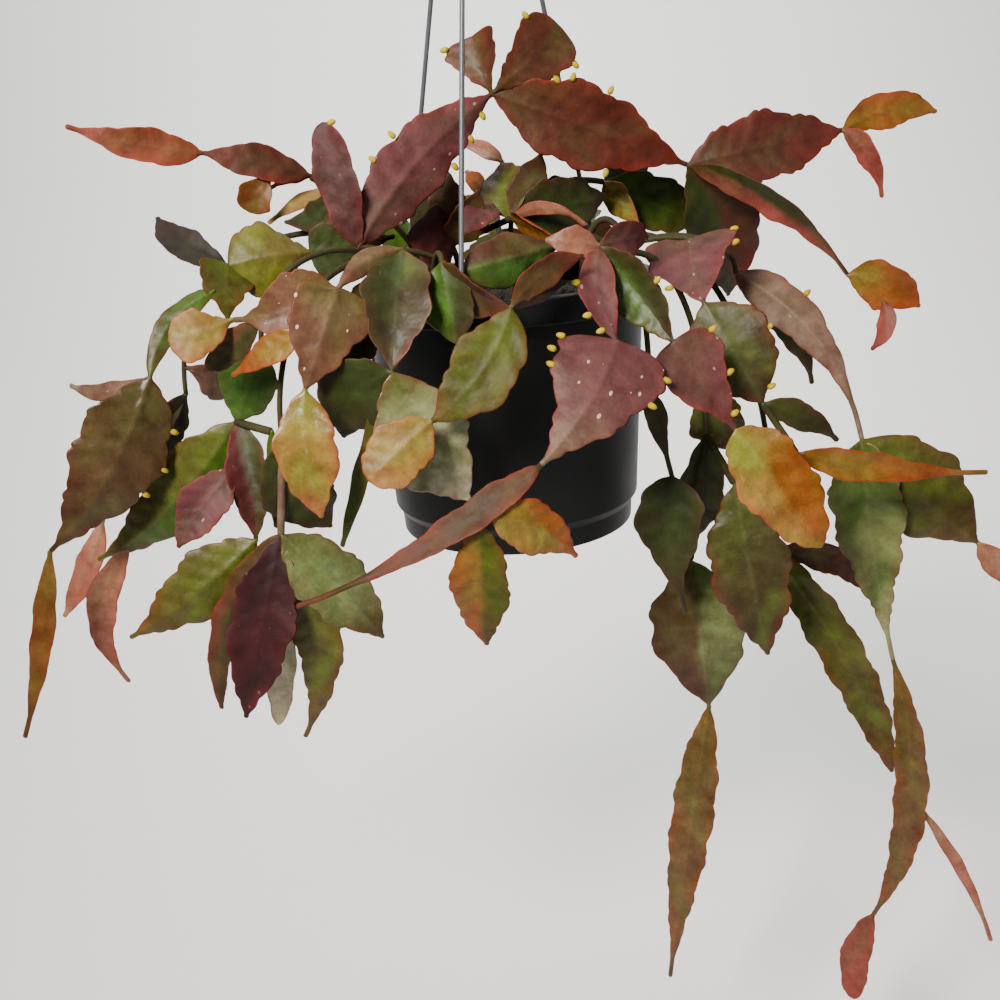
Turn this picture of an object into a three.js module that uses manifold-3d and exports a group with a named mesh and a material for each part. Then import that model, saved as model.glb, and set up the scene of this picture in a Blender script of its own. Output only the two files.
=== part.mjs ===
// Potted Rhipsalis rhombea: a jungle cactus of flat leaf-like stem joints (cladodes) with
// scalloped edges, hanging over the rim of a black nursery pot on a three-wire hanger.
// Lengths are in millimetres and +Z is up. The origin is the seat of the hanging hook.
import * as THREE from 'three';
import { mergeVertices } from 'three/addons/utils/BufferGeometryUtils.js';
import Module from 'manifold-3d';

const wasm = await Module();
wasm.setup();

// Pot, measured from its underside.
const POT_HEIGHT = 125;
const RIM_RADIUS = 75;
const COLLAR_HEIGHT = 12;
const FLANGE_THICK = 3;
const WALL_THICK = 1.7;
const WALL_TOP_RADIUS = 69;
const WALL_LOW_RADIUS = 63;
const FOOT_RADIUS = 59.5;
const FOOT_HEIGHT = 10;
const FLOOR_THICK = 2.2;
const POT_SIDES = 32;
const DRAIN_RADIUS = 4;
const DRAIN_RING = 38;
const DRAIN_COUNT = 5;
const DRAIN_TURN = 0.3;
const PANEL_WIDTH = 20;
const PANEL_HEIGHT = 9;
const PANEL_SHIFT = 12;

// Gap kept between pieces that touch on the real plant.
const FIT = 0.35;

// Soil.
const SOIL_TOP = 113;
const SOIL_MOUND = 3;
const STALK_DEPTH = 16;
const STALK_RISE = 7;
const STALK_STEP = 15;

// Hanger.
const WIRE_RADIUS = 1.2;
const WIRE_RING = 71.2;
const WIRE_ANGLES = [253, 136, 43];
const WIRE_FOOT = 7;
const WIRE_SIDES = 8;
const HUB_LOW = 379;
const HUB_HEIGHT = 13;
const HUB_RADIUS = 6;
const HUB_RING = 3.3;
const HOOK_WIRE = 1.75;
const HOOK_RADIUS = 12.75;
const HOOK_RISE = 24;
const HOOK_TIP = 205;
const HOOK_CENTRE = HUB_LOW + HUB_HEIGHT + HOOK_RISE;
const HOOK_SEAT = HOOK_CENTRE + HOOK_RADIUS - HOOK_WIRE;

// Cladodes.
const STALK_RADIUS = 2.4;
const LOBE_PITCH = 12.5;
const LOBE_DEPTH = 0.07;
const EDGE_HALF = 0.36;
const SLIM_HALF = 0.7;
const RIB_HALF = 1.15;
const END_HALF = 1.3;
const SLIM_WIDTH = 25;
const AREOLE_SHARE = 0.7;
const BUD_LENGTH = 4.2;
const BUD_WIDTH = 2.3;

// Each form's outline is along^rise * (1 - along)^fall, scaled to a largest value of one.
// The third value cuts off a share of the start, for a blunt base.
const FORMS = {
  leaf: [0.85, 1.05, 0],
  lance: [0.8, 1.4, 0],
  taper: [0.7, 2.1, 0],
  pear: [1.15, 0.6, 0],
  heart: [0.25, 1.25, 0.012],
  strap: [0.5, 0.7, 0],
  oval: [0.6, 0.5, 0],
  spear: [1.0, 1.4, 0],
  spade: [0.8, 1.9, 0],
  shield: [0.25, 0.95, 0.012],
  fan: [1.3, 0.35, 0],
  stem: [0.01, 0.01, 0],
};

// The stems' layout is read in one view of the plant, a picture 1000 by 1000 with the eye
// at EYE from the middle of the pot's underside. A place is [picture x, picture y, depth],
// where depth is the distance behind the pot's axis.
const EYE = new THREE.Vector3(-9, -620, 215);
const EYE_PITCH = THREE.MathUtils.degToRad(18.4);
const EYE_ROLL = THREE.MathUtils.degToRad(3.8);
const FOCAL = 1240;
const MIDDLE = 500;

/** The point at a picture place and a depth, in the pot's frame. */
function place([pictureX, pictureY, depth]) {
  const across = (pictureX - MIDDLE) / FOCAL;
  const above = (MIDDLE - pictureY) / FOCAL;
  const right = across * Math.cos(EYE_ROLL) + above * Math.sin(EYE_ROLL);
  const up = above * Math.cos(EYE_ROLL) - across * Math.sin(EYE_ROLL);
  const ray = new THREE.Vector3(
    right,
    Math.cos(EYE_PITCH) + up * Math.sin(EYE_PITCH),
    up * Math.cos(EYE_PITCH) - Math.sin(EYE_PITCH),
  );
  return EYE.clone().addScaledVector(ray, (depth - EYE.y) / ray.y);
}

/** A closed geometry as a solid for joins and cuts. */
function solid(geometry) {
  const bare = geometry.index ? geometry.clone() : geometry;
  bare.deleteAttribute('normal');
  bare.deleteAttribute('uv');
  const merged = mergeVertices(bare, 1e-4);
  return new wasm.Manifold(new wasm.Mesh({
    numProp: 3,
    vertProperties: new Float32Array(merged.attributes.position.array),
    triVerts: new Uint32Array(merged.index.array),
  }));
}

/** A solid as a geometry for a mesh. */
function geometryOf(body) {
  const mesh = body.getMesh();
  const geometry = new THREE.BufferGeometry();
  geometry.setAttribute('position', new THREE.BufferAttribute(mesh.vertProperties, 3));
  geometry.setIndex(new THREE.BufferAttribute(mesh.triVerts, 1));
  return geometry;
}

/** One solid joined from many. */
function fuse(bodies) {
  return bodies.reduce((whole, body) => whole.add(body));
}

/** A round rod between two points. */
function rod(from, to, radius, sides) {
  const shaft = new THREE.CylinderGeometry(radius, radius, from.distanceTo(to), sides);
  const along = to.clone().sub(from).normalize();
  shaft.applyQuaternion(new THREE.Quaternion().setFromUnitVectors(new THREE.Vector3(0, 1, 0), along));
  const middle = from.clone().lerp(to, 0.5);
  shaft.translate(middle.x, middle.y, middle.z);
  return solid(shaft);
}

/** A ring section turned about the Z axis, with its points given as [radius, height]. */
function turned(points, sides) {
  const lathe = new THREE.LatheGeometry(points.map(([r, z]) => new THREE.Vector2(r, z)), sides);
  lathe.rotateX(Math.PI / 2);
  return solid(lathe);
}

/** A polygon section of one radius, for a rod that follows a curve. */
function roundShape(radius, sides) {
  const corners = Array.from({ length: sides }, (_, i) => {
    const angle = (i / sides) * Math.PI * 2;
    return new THREE.Vector2(radius * Math.cos(angle), radius * Math.sin(angle));
  });
  return new THREE.Shape(corners);
}

/** A rod of one section along a curve. */
function bentRod(curve, radius, sides, steps) {
  const options = { steps, extrudePath: curve, bevelEnabled: false };
  return solid(new THREE.ExtrudeGeometry(roundShape(radius, sides), options));
}

/** A triangle list as a solid, turned outward. */
function solidFrom(vertices, triangles) {
  const build = (list) => new wasm.Manifold(new wasm.Mesh({
    numProp: 3,
    vertProperties: new Float32Array(vertices.flatMap((v) => [v.x, v.y, v.z])),
    triVerts: new Uint32Array(list.flat()),
  }));
  const body = build(triangles);
  return body.volume() > 0 ? body : build(triangles.map(([a, b, c]) => [a, c, b]));
}

// A cladode's midrib runs from base to tip and bows off the straight line. Its local frame
// has an axis along it, a normal facing the viewer and turned about the axis, and a side.
class Cladode {
  constructor(base, tip, width, form, turn = 0, bow = 0, sweep = 0, fold = 0) {
    this.base = base;
    this.tip = tip;
    this.width = width;
    this.form = form;
    this.bow = bow;
    this.sweep = sweep;
    this.fold = THREE.MathUtils.degToRad(fold);
    this.span = tip.clone().sub(base);
    this.length = this.span.length();
    this.axis = this.span.clone().normalize();
    const view = EYE.clone().sub(base.clone().lerp(tip, 0.5));
    this.normal = view.addScaledVector(this.axis, -view.dot(this.axis)).normalize();
    this.normal.applyAxisAngle(this.axis, THREE.MathUtils.degToRad(turn));
    this.side = this.axis.clone().cross(this.normal);
    this.plain = form === 'stem';
    this.slim = width < SLIM_WIDTH;
    this.stations = this.plain ? 3 : Math.max(4, Math.round(this.length / LOBE_PITCH));
  }

  /** Middle of the midrib at a share of the length. */
  middle(along) {
    const off = this.length * 4 * along * (1 - along);
    return this.base.clone()
      .addScaledVector(this.span, along)
      .addScaledVector(this.normal, off * this.bow)
      .addScaledVector(this.side, off * this.sweep);
  }

  /** Directions out to the side and off the face, square to the curved midrib. */
  axes(along) {
    const slope = 4 * (1 - 2 * along);
    const tangent = this.axis.clone()
      .addScaledVector(this.normal, slope * this.bow)
      .addScaledVector(this.side, slope * this.sweep)
      .normalize();
    const face = this.normal.clone().addScaledVector(tangent, -this.normal.dot(tangent)).normalize();
    return { out: tangent.cross(face), face };
  }

  /** Half width of the outline before scallops. */
  half(along) {
    const [rise, fall, blunt] = FORMS[this.form];
    const peak = rise / (rise + fall);
    const top = peak ** rise * (1 - peak) ** fall;
    const from = blunt + (1 - blunt) * along;
    const share = (from ** rise * (1 - from) ** fall) / top;
    return Math.max(END_HALF, (share * this.width) / 2);
  }

  /** Point on one edge, side -1 or 1, at a station; the two edges' scallops take turns. */
  edge(station, side) {
    const along = station / this.stations;
    const inner = !this.plain && station > 0 && station < this.stations;
    const push = inner ? LOBE_DEPTH * side * (station % 2 ? -1 : 1) : 0;
    const { out, face } = this.axes(along);
    const reach = this.half(along) * (1 + push);
    return {
      face,
      point: this.middle(along)
        .addScaledVector(out, side * reach * Math.cos(this.fold))
        .addScaledVector(face, reach * Math.sin(this.fold)),
    };
  }

  /** Where a new joint grows: the tip, or a place by the edge that is nearer to its own tip. */
  areole(along, towards) {
    const start = this.middle(along);
    const { out, face } = this.axes(along);
    const side = Math.sign(towards.clone().sub(start).dot(out));
    const reach = AREOLE_SHARE * (this.half(along) - END_HALF);
    return start
      .addScaledVector(out, side * reach * Math.cos(this.fold))
      .addScaledVector(face, reach * Math.sin(this.fold));
  }

  /** Solid of rings with four corners when slim, or six with a raised midrib. */
  body() {
    const { slim, stations } = this;
    const rib = Math.min(RIB_HALF, 0.25 + this.width * 0.05);
    const edgeHalf = slim ? SLIM_HALF : EDGE_HALF;
    const vertices = [];
    for (let i = 0; i <= stations; i += 1) {
      const left = this.edge(i, -1);
      const right = this.edge(i, 1);
      const middle = { point: this.middle(i / stations), face: left.face };
      const lift = ({ point, face }, height) => point.clone().addScaledVector(face, height);
      const upper = [lift(left, edgeHalf), lift(right, edgeHalf)];
      const lower = [lift(right, -edgeHalf), lift(left, -edgeHalf)];
      if (!slim) {
        upper.splice(1, 0, lift(middle, rib));
        lower.splice(1, 0, lift(middle, -rib));
      }
      vertices.push(...upper, ...lower);
    }
    const corners = slim ? 4 : 6;
    const triangles = [];
    for (let i = 0; i < stations; i += 1) {
      const a = i * corners;
      const b = a + corners;
      for (let k = 0; k < corners; k += 1) {
        const next = (k + 1) % corners;
        if (k < corners / 2) {
          triangles.push([a + k, a + next, b + next], [a + k, b + next, b + k]);
        } else {
          triangles.push([a + k, a + next, b + k], [a + next, b + next, b + k]);
        }
      }
    }
    const last = stations * corners;
    const cap = slim ? [[0, 3, 2], [0, 2, 1]] : [[0, 5, 4], [0, 4, 1], [1, 4, 3], [1, 3, 2]];
    cap.forEach((c) => triangles.push(c, [last + c[0], last + c[2], last + c[1]]));
    return solidFrom(vertices, triangles);
  }

  /** A yellow flower bud standing out of the edge. */
  bud(along, side) {
    const station = Math.min(Math.floor(along * this.stations), this.stations - 1);
    const near = this.edge(station, side).point;
    const point = near.lerp(this.edge(station + 1, side).point, along * this.stations - station);
    const out = point.clone().sub(this.middle(along)).normalize();
    const shape = new THREE.OctahedronGeometry(1, 0);
    shape.scale(BUD_WIDTH / 2, BUD_LENGTH / 2, BUD_WIDTH / 2);
    shape.applyQuaternion(new THREE.Quaternion().setFromUnitVectors(new THREE.Vector3(0, 1, 0), out));
    point.addScaledVector(out, BUD_LENGTH * 0.22);
    shape.translate(point.x, point.y, point.z);
    return solid(shape);
  }
}

/** A stalk's curve: upright out of the soil, then an arch to where its first cladode starts. */
function stalkCurve([x, y], end, peak) {
  const low = new THREE.Vector3(x, y, SOIL_TOP - STALK_DEPTH);
  const high = new THREE.Vector3(x, y, SOIL_TOP + STALK_RISE);
  const curve = new THREE.CurvePath();
  curve.add(new THREE.LineCurve3(low, high));
  curve.add(new THREE.CubicBezierCurve3(
    high,
    new THREE.Vector3(x, y, peak),
    new THREE.Vector3(end.x, end.y, Math.max(peak, end.z)),
    end,
  ));
  return curve;
}

/** A stalk as a slim rod along its curve. */
function stalk(curve) {
  const steps = Math.round(curve.getLength() / STALK_STEP);
  return bentRod(curve, STALK_RADIUS, 5, steps);
}

// Each leafy stem has stalks [id, root on the soil, place of its end, peak height] and
// cladodes [id, parent, place of the tip, width, form, turn, bow, sweep, fold]. A cladode
// starts at its parent's tip, or by its edge at a share of its length written after a colon.
// Buds are [cladode, share of its length, side].
const STEMS = [
  {
    name: 'stem_crown_arch',
    color: 0x7a4a46,
    stalks: [['a0', [-28, -24], [358, 247, -40], 144]],
    cladodes: [
      ['a1', 'a0', [322, 122, -30], 20, 'oval', -14, 0.04, 0, 12],
      ['a2', 'a0', [492, 94, -8], 31, 'leaf', 8, 0.03, -0.06, -6],
      ['a3', 'a2', [472, 36, 0], 29, 'fan', -20, 0.06, 0, 22],
      ['a4', 'a2', [562, 28, -14], 31, 'fan', 12, 0.05, 0, 8],
      ['a5', 'a2', [688, 165, 4], 39, 'spear', 6, 0.05, -0.01, 8],
      ['a6', 'a5', [843, 130, 12], 34, 'leaf', -8, 0.04, 0, 8],
      ['a7', 'a6', [937, 112, 4], 19, 'leaf', 20, 0.05, -0.16, 10],
      ['a8', 'a6', [882, 198, -4], 13, 'lance', 30, 0, -0.14, 10],
      ['a9', 'a5', [848, 275, -10], 17, 'lance', 40, 0.02, -0.13, 18],
      ['a10', 'a9', [920, 307, -20], 25, 'leaf', 15, 0.05, -0.09, 14],
      ['a11', 'a10:0.55', [871, 350, -22], 10, 'leaf', 25, 0, -0.2, 8],
      ['a12', 'a5', [728, 296, 42], 40, 'leaf', -18, 0.05, -0.07, 10],
    ],
    buds: [
      ['a1', 0.97, 1], ['a2', 0.5, -1], ['a2', 0.62, 1], ['a2', 0.78, 1], ['a2', 0.9, 1],
      ['a2', 0.36, -1], ['a3', 0.9, -1], ['a4', 0.62, 1], ['a4', 0.86, 1], ['a4', 0.8, -1],
      ['a5', 0.32, -1], ['a5', 0.5, -1], ['a5', 0.62, 1],
    ],
  },
  {
    name: 'stem_left_arm',
    color: 0xa0553f,
    stalks: [['b0', [-40, 22], [335, 190, 20], 155]],
    cladodes: [
      ['b1', 'b0', [310, 176, 15], 5, 'stem', 0, 0, 0, 0],
      ['b2', 'b1', [202, 153, 2], 18, 'leaf', 18, 0.06, 0, 8],
      ['b3', 'b2', [65, 126, -14], 17, 'lance', 10, 0.03, -0.04, 8],
      ['b4', 'b1', [270, 189, 20], 8, 'lance', 30, 0, 0.1, 8],
      ['b5', 'b2:0.36', [250, 213, 4], 18, 'pear', 10, 0.08, 0.05, 14],
      ['b6', 'b0', [268, 224, 8], 9, 'lance', 30, 0, 0.07, 8],
      ['b7', 'b0', [284, 222, 2], 17, 'leaf', 20, 0, -0.22, 12],
    ],
    buds: [],
  },
  {
    name: 'stem_crown',
    color: 0x4f5a34,
    stalks: [['c0', [4, 6], [512, 218, -6], 148]],
    cladodes: [
      ['c1', 'c0', [541, 153, 4], 20, 'leaf', 10, 0.03, 0.04, 12],
      ['c2', 'c0', [502, 162, 20], 28, 'leaf', -20, 0.05, 0, 10],
      ['c3', 'c2:0.3', [462, 236, -34], 16, 'leaf', 25, 0.06, 0, 10],
      ['c4', 'c0', [586, 226, -14], 7, 'lance', 20, 0, -0.2, 10],
      ['c6', 'c0', [562, 244, -34], 16, 'lance', 60, 0, -0.06, 10],
      ['c7', 'c6', [464, 272, -60], 25, 'pear', 4, 0.12, 0, -18],
      ['c8', 'c0', [456, 243, 0], 4, 'stem', 0, 0, 0, 0],
      ['c9', 'c8', [440, 163, 8], 20, 'leaf', -12, 0.05, 0, 12],
      ['c10', 'c2:0.45', [466, 171, 34], 9, 'leaf', 0, 0.05, 0, 8],
      ['c11', 'c2', [450, 143, 26], 9, 'lance', 30, 0, 0.12, 8],
      ['c12', 'c0', [604, 182, 28], 4, 'stem', 0, 0, -0.12, 0],
      ['c13', 'c12', [706, 223, 34], 30, 'leaf', 10, 0.03, 0, 8],
      ['c14', 'c12', [642, 228, 16], 15, 'lance', 20, 0.04, 0, 10],
      ['c15', 'c12', [650, 158, 50], 26, 'leaf', 20, 0.05, 0, 10],
      ['c16', 'c8', [414, 200, 34], 22, 'leaf', -25, 0.05, 0, 10],
      ['c17', 'c8', [406, 236, -22], 32, 'leaf', 10, 0.05, 0, 10],
      ['c18', 'c0', [572, 178, 22], 22, 'leaf', 16, 0.05, 0.04, 10],
      ['c19', 'c8', [478, 190, -14], 21, 'leaf', 20, 0.05, 0, 10],
      ['c20', 'c0', [606, 196, 14], 32, 'leaf', 10, 0.05, 0, 8],
    ],
    buds: [],
  },
  {
    name: 'stem_left_outer',
    color: 0x6b5a3c,
    stalks: [['d0', [-50, 4], [312, 252, -8], 145]],
    cladodes: [
      ['d1', 'd0', [228, 266, -16], 37, 'pear', 10, 0.08, 0.02, -12],
      ['d2', 'd1', [228, 322, -26], 30, 'heart', -15, 0.08, 0.05, 10],
      ['d3', 'd1', [157, 217, 6], 18, 'leaf', 25, 0.04, -0.12, 14],
      ['d4', 'd2:0.5', [150, 378, -49], 12, 'strap', 15, 0, 0.14, 6],
      ['d5', 'd4', [50, 552, -64], 43, 'lance', -8, 0.06, -0.05, -8],
      ['d6', 'd5', [25, 738, -66], 12, 'lance', 20, 0.02, -0.03, 12],
      ['d7', 'd4', [70, 385, -18], 9, 'leaf', 10, 0.04, -0.09, 8],
      ['d8', 'd0', [395, 236, 0], 26, 'heart', 6, 0.05, 0, 8],
    ],
    buds: [
      ['d5', 0.2, -1], ['d5', 0.38, -1], ['d5', 0.52, -1],
    ],
  },
  {
    name: 'stem_left_back',
    color: 0x5b5f38,
    stalks: [['e0', [-54, 20], [186, 394, -6], 168]],
    cladodes: [
      ['e1', 'e0', [165, 470, -4], 20, 'leaf', -20, 0.05, 0.12, 10],
      ['e2', 'e0', [103, 520, -16], 14, 'lance', 0, 0.04, 0.05, 10],
      ['e3', 'e2', [64, 617, -22], 14, 'leaf', 15, 0.05, -0.05, 12],
      ['e4', 'e0:0.93', [222, 400, 6], 16, 'pear', 0, 0.05, -0.15, 8],
    ],
    buds: [],
  },
  {
    name: 'stem_left_inner',
    color: 0x5d6a3a,
    stalks: [['f0', [-52, -12], [262, 350, -48], 158]],
    cladodes: [
      ['f1', 'f0', [236, 422, -46], 28, 'leaf', 10, 0.05, 0, 8],
      ['f2', 'f1', [98, 560, -28], 35, 'lance', -6, 0.06, -0.05, -8],
      ['f3', 'f2:0.82', [130, 682, -34], 16, 'lance', 10, 0.04, 0.18, 12],
      ['f4', 'f1', [272, 432, -60], 5, 'stem', 0, 0, 0, 0],
      ['f5', 'f1', [256, 540, -64], 22, 'leaf', 10, 0.06, -0.05, 22],
      ['f6', 'f5:0.4', [178, 548, -70], 24, 'leaf', 10, 0.05, 0.04, 16],
      ['f7', 'f5', [130, 638, -66], 33, 'lance', -10, 0.07, -0.02, -8],
      ['f8', 'f4', [276, 528, -56], 8, 'strap', 30, 0, 0, 8],
    ],
    buds: [],
  },
  {
    name: 'stem_left_low',
    color: 0x5c4a38,
    stalks: [['h0', [-40, -30], [282, 440, -80], 158]],
    cladodes: [
      ['h1', 'h0', [281, 535, -80], 4.5, 'stem', 0, 0, 0, 0],
      ['h2', 'h1', [246, 718, -86], 31, 'leaf', 8, 0.04, 0, 10],
      ['h3', 'h1', [384, 638, -80], 33, 'leaf', -8, 0.08, -0.01, -10],
      ['h4', 'h1', [305, 737, -62], 25, 'lance', 10, 0.05, -0.115, 12],
      ['h5', 'h1', [222, 709, -66], 15, 'strap', 10, 0.03, 0.1, 8],
      ['h6', 'h1', [279, 725, -72], 14, 'pear', -10, 0.03, 0, 8],
      ['h7', 'h0', [332, 527, -66], 34, 'leaf', 8, 0.05, 0.08, 10],
    ],
    buds: [],
  },
  {
    name: 'stem_left_front',
    color: 0x8a6350,
    stalks: [['i0', [-18, -44], [402, 250, -60], 144]],
    cladodes: [
      ['i1', 'i0', [337, 290, -84], 11, 'leaf', 10, 0.05, 0.09, -6],
      ['i2', 'i1', [232, 320, -80], 33, 'spade', 4, 0.07, -0.06, 12],
      ['i3', 'i1', [305, 390, -98], 36, 'shield', -6, 0.08, 0, -6],
      ['i4', 'i3', [322, 518, -106], 28, 'leaf', 6, 0.06, 0.04, 10],
      ['i5', 'i2', [168, 340, -86], 23, 'pear', 6, 0.08, -0.05, 8],
      ['i6', 'i3:0.5', [232, 376, -86], 14, 'lance', 20, 0.03, 0, 10],
      ['i7', 'i2:0.75', [203, 372, -66], 15, 'leaf', 10, 0.03, 0, 10],
      ['i8', 'i0', [392, 372, -96], 32, 'leaf', 4, 0.07, 0, 16],
      ['i9', 'i8', [344, 438, -82], 36, 'leaf', 4, 0.05, 0.15, 10],
      ['i10', 'i8', [470, 500, -88], 40, 'leaf', 0, 0.05, 0.05, 12],
      ['i11', 'i8', [342, 547, -82], 9, 'strap', 20, 0, 0, 8],
      ['i12', 'i8:0.25', [334, 384, -74], 26, 'leaf', -8, 0.04, 0, 8],
    ],
    buds: [],
  },
  {
    name: 'stem_front',
    color: 0x6d6a38,
    stalks: [['p0', [-33, -50], [442, 262, -73], 150]],
    cladodes: [
      ['p1', 'p0', [511, 308, -94], 28, 'leaf', 58, 0.04, 0.06, 22],
      ['p2', 'p1', [584, 256, -80], 14, 'leaf', 20, 0.02, -0.12, 14],
      ['p3', 'p1', [431, 422, -106], 31, 'leaf', 6, 0.06, -0.1, 8],
      ['p4', 'p3', [369, 482, -114], 27, 'oval', 4, 0.05, 0.01, -6],
      ['p5', 'p1', [566, 282, -82], 9, 'leaf', 10, 0.04, -0.05, 8],
      ['p6', 'p0', [460, 346, -80], 28, 'leaf', 25, 0.06, 0, 10],
    ],
    buds: [],
  },
  {
    name: 'stem_front_right',
    color: 0x85504c,
    stalks: [['j0', [20, -42], [599, 246, -62], 145]],
    cladodes: [
      ['j1', 'j0', [617, 342, -90], 17, 'leaf', -6, 0.05, 0.09, 12],
      ['j2', 'j0', [674, 343, -86], 27, 'leaf', 14, -0.06, 0, 30],
      ['j3', 'j1', [540, 466, -120], 50, 'heart', 4, 0.06, -0.065, -6],
      ['j4', 'j2', [736, 430, -90], 33, 'heart', -6, 0.04, 0, 16],
      ['j5', 'j3', [296, 607, -130], 15, 'taper', 20, 0.02, -0.055, 14],
      ['j6', 'j5:0.24', [577, 557, -112], 24, 'lance', 6, 0.05, -0.08, 10],
      ['j7', 'j5:0.28', [487, 645, -112], 26, 'leaf', 4, 0.05, 0.02, 10],
      ['j8', 'j4', [822, 547, -98], 34, 'strap', -8, 0.05, 0, 8],
      ['j9', 'j0', [648, 238, -42], 17, 'leaf', 10, 0.06, -0.06, 8],
      ['j10', 'j0', [545, 240, -64], 14, 'leaf', 10, 0.1, 0, 8],
    ],
    buds: [
      ['j1', 0.4, 1], ['j1', 0.7, 1], ['j1', 0.86, 1], ['j2', 0.55, -1], ['j3', 0.06, 1],
      ['j3', 0.2, 1], ['j3', 0.34, 1], ['j3', 0.12, -1], ['j3', 0.3, -1], ['j4', 0.1, -1],
      ['j4', 0.5, -1], ['j4', 0.85, -1],
    ],
  },
  {
    name: 'stem_right_upper',
    color: 0x6f5a48,
    stalks: [
      ['k0', [40, -6], [690, 240, -22], 143],
      ['n0', [50, -24], [706, 436, -36], 149],
    ],
    cladodes: [
      ['k1', 'k0', [704, 303, -60], 44, 'shield', 4, 0.04, 0.03, 8],
      ['k2', 'k1', [763, 404, -76], 41, 'leaf', -6, 0.07, 0, 8],
      ['k3', 'k2', [838, 441, -68], 14, 'lance', 14, 0.04, -0.08, 10],
      ['k4', 'k2', [797, 454, -80], 4, 'stem', 0, 0, 0, 0],
      ['k5', 'k4', [988, 472, -86], 16, 'spade', 20, 0.03, 0.02, 15],
      ['n1', 'n0', [690, 560, -28], 5, 'stem', 0, 0, 0, 0],
      ['n2', 'n1', [709, 706, -34], 52, 'leaf', -4, 0.06, 0, -14],
      ['n3', 'n2', [670, 977, -44], 23, 'lance', 6, 0.03, 0, -10],
      ['n4', 'n0', [735, 484, -50], 5, 'stem', 0, 0, 0, 0],
      ['n5', 'n4', [768, 655, -58], 40, 'leaf', 6, 0.05, 0, 8],
      ['n6', 'n0', [694, 540, -14], 24, 'leaf', -10, 0.04, 0, 10],
      ['n7', 'n0:0.86', [730, 450, -26], 28, 'leaf', 4, 0.04, 0, 8],
    ],
    buds: [
      ['k1', 0.1, -1], ['k1', 0.35, -1], ['k1', 0.7, 1], ['k2', 0.9, -1],
    ],
  },
  {
    name: 'stem_right_outer',
    color: 0x74644a,
    stalks: [['l0', [54, 6], [736, 274, -10], 147]],
    cladodes: [
      ['l1', 'l0', [862, 440, -46], 22, 'taper', -6, 0.06, -0.11, -8],
      ['l2', 'l1', [978, 543, -52], 45, 'leaf', 4, 0.06, 0, -8],
      ['l3', 'l2', [1012, 592, -54], 13, 'lance', 10, 0.03, -0.05, 10],
      ['l4', 'l1', [893, 660, -34], 36, 'taper', 6, 0.05, 0.01, 10],
      ['l5', 'l4', [873, 915, -44], 18, 'leaf', 10, 0.03, -0.105, 10],
      ['l6', 'l5', [854, 999, -48], 17, 'oval', 10, 0.03, 0.07, 10],
      ['l7', 'l5:0.52', [991, 941, -52], 7, 'lance', 20, 0, -0.04, 8],
      ['l8', 'l0', [812, 384, 4], 18, 'lance', 10, 0.04, -0.1, 8],
    ],
    buds: [
      ['l1', 0.3, -1], ['l1', 0.28, 1],
    ],
  },
  {
    name: 'stem_right_low',
    color: 0x4d5632,
    stalks: [['m0', [36, -38], [650, 392, -50], 172]],
    cladodes: [
      ['m1', 'm0', [672, 476, -48], 11, 'taper', 10, 0.02, 0, 8],
      ['m2', 'm1', [686, 612, -52], 34, 'taper', 8, 0.07, 0.04, 12],
    ],
    buds: [],
  },
  {
    name: 'stem_right_back',
    color: 0x6a6430,
    stalks: [['o0', [50, 22], [774, 552, -16], 158]],
    cladodes: [
      ['o1', 'o0', [892, 772, -24], 24, 'strap', 8, 0.04, -0.05, 10],
      ['o2', 'o0', [877, 610, -8], 17, 'lance', 10, 0.03, -0.18, 10],
    ],
    buds: [],
  },
];

// Back stems hang over the far side of the rim. One pattern, as [parent, turn about the pot,
// radius, height, width] of each cladode's tip, is set at BACK_ANGLES with small changes.
const BACK_ANGLES = [61, 90, 119];
const BACK_ROOT = 46;
const BACK_REACH = 95;
const BACK_END = 138;
const BACK_PEAK = 152;
const BACK_PATTERN = [
  ['0', 2, 112, 92, 36],
  ['1', 5, 119, 34, 36],
  ['1', -9, 112, 52, 27],
  ['2', 3, 116, -22, 26],
  ['0', 8, 124, 150, 26],
  ['0', -10, 112, 116, 22],
];

/** Point at a turn about the pot's axis, a radius and a height. */
function around(degrees, radius, height) {
  const angle = THREE.MathUtils.degToRad(degrees);
  return new THREE.Vector3(radius * Math.cos(angle), radius * Math.sin(angle), height);
}

/** The solid of one stem on the far side of the pot. */
function backStem(angle, index) {
  const root = around(angle, BACK_ROOT, 0);
  const curve = stalkCurve([root.x, root.y], around(angle, BACK_REACH, BACK_END), BACK_PEAK);
  const bodies = [stalk(curve)];
  const tips = [curve.getPoint(1)];
  BACK_PATTERN.forEach(([parent, turn, radius, height, width], i) => {
    const change = Math.sin(3.1 * i + 2.3 * index);
    const tip = around(angle + turn + 2 * change, radius + 2 * change, height + 7 * change);
    const cladode = new Cladode(tips[Number(parent)], tip, width, 'leaf', 12 * change, -0.08, 0, 8);
    tips.push(tip);
    bodies.push(cladode.body());
  });
  return fuse(bodies);
}

/** The cladodes of one leafy stem, each starting on its parent. */
function grow({ stalks, cladodes }) {
  const bodies = [];
  const grown = new Map();
  stalks.forEach(([id, root, end, peak]) => {
    const curve = stalkCurve(root, place(end), peak);
    grown.set(id, { areole: (along) => curve.getPoint(along) });
    bodies.push(stalk(curve));
  });
  cladodes.forEach(([id, parent, tip, ...shape]) => {
    const [parentId, share] = parent.split(':');
    const end = place(tip);
    const base = grown.get(parentId).areole(share === undefined ? 1 : Number(share), end);
    const cladode = new Cladode(base, end, ...shape);
    grown.set(id, cladode);
    bodies.push(cladode.body());
  });
  return { bodies, grown };
}

/** The solid of one leafy stem. */
function leafyStem(stem) {
  const { bodies, grown } = grow(stem);
  const buds = stem.buds.map(([id, along, side]) => grown.get(id).bud(along, side));
  return fuse([...bodies, ...buds]);
}

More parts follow.
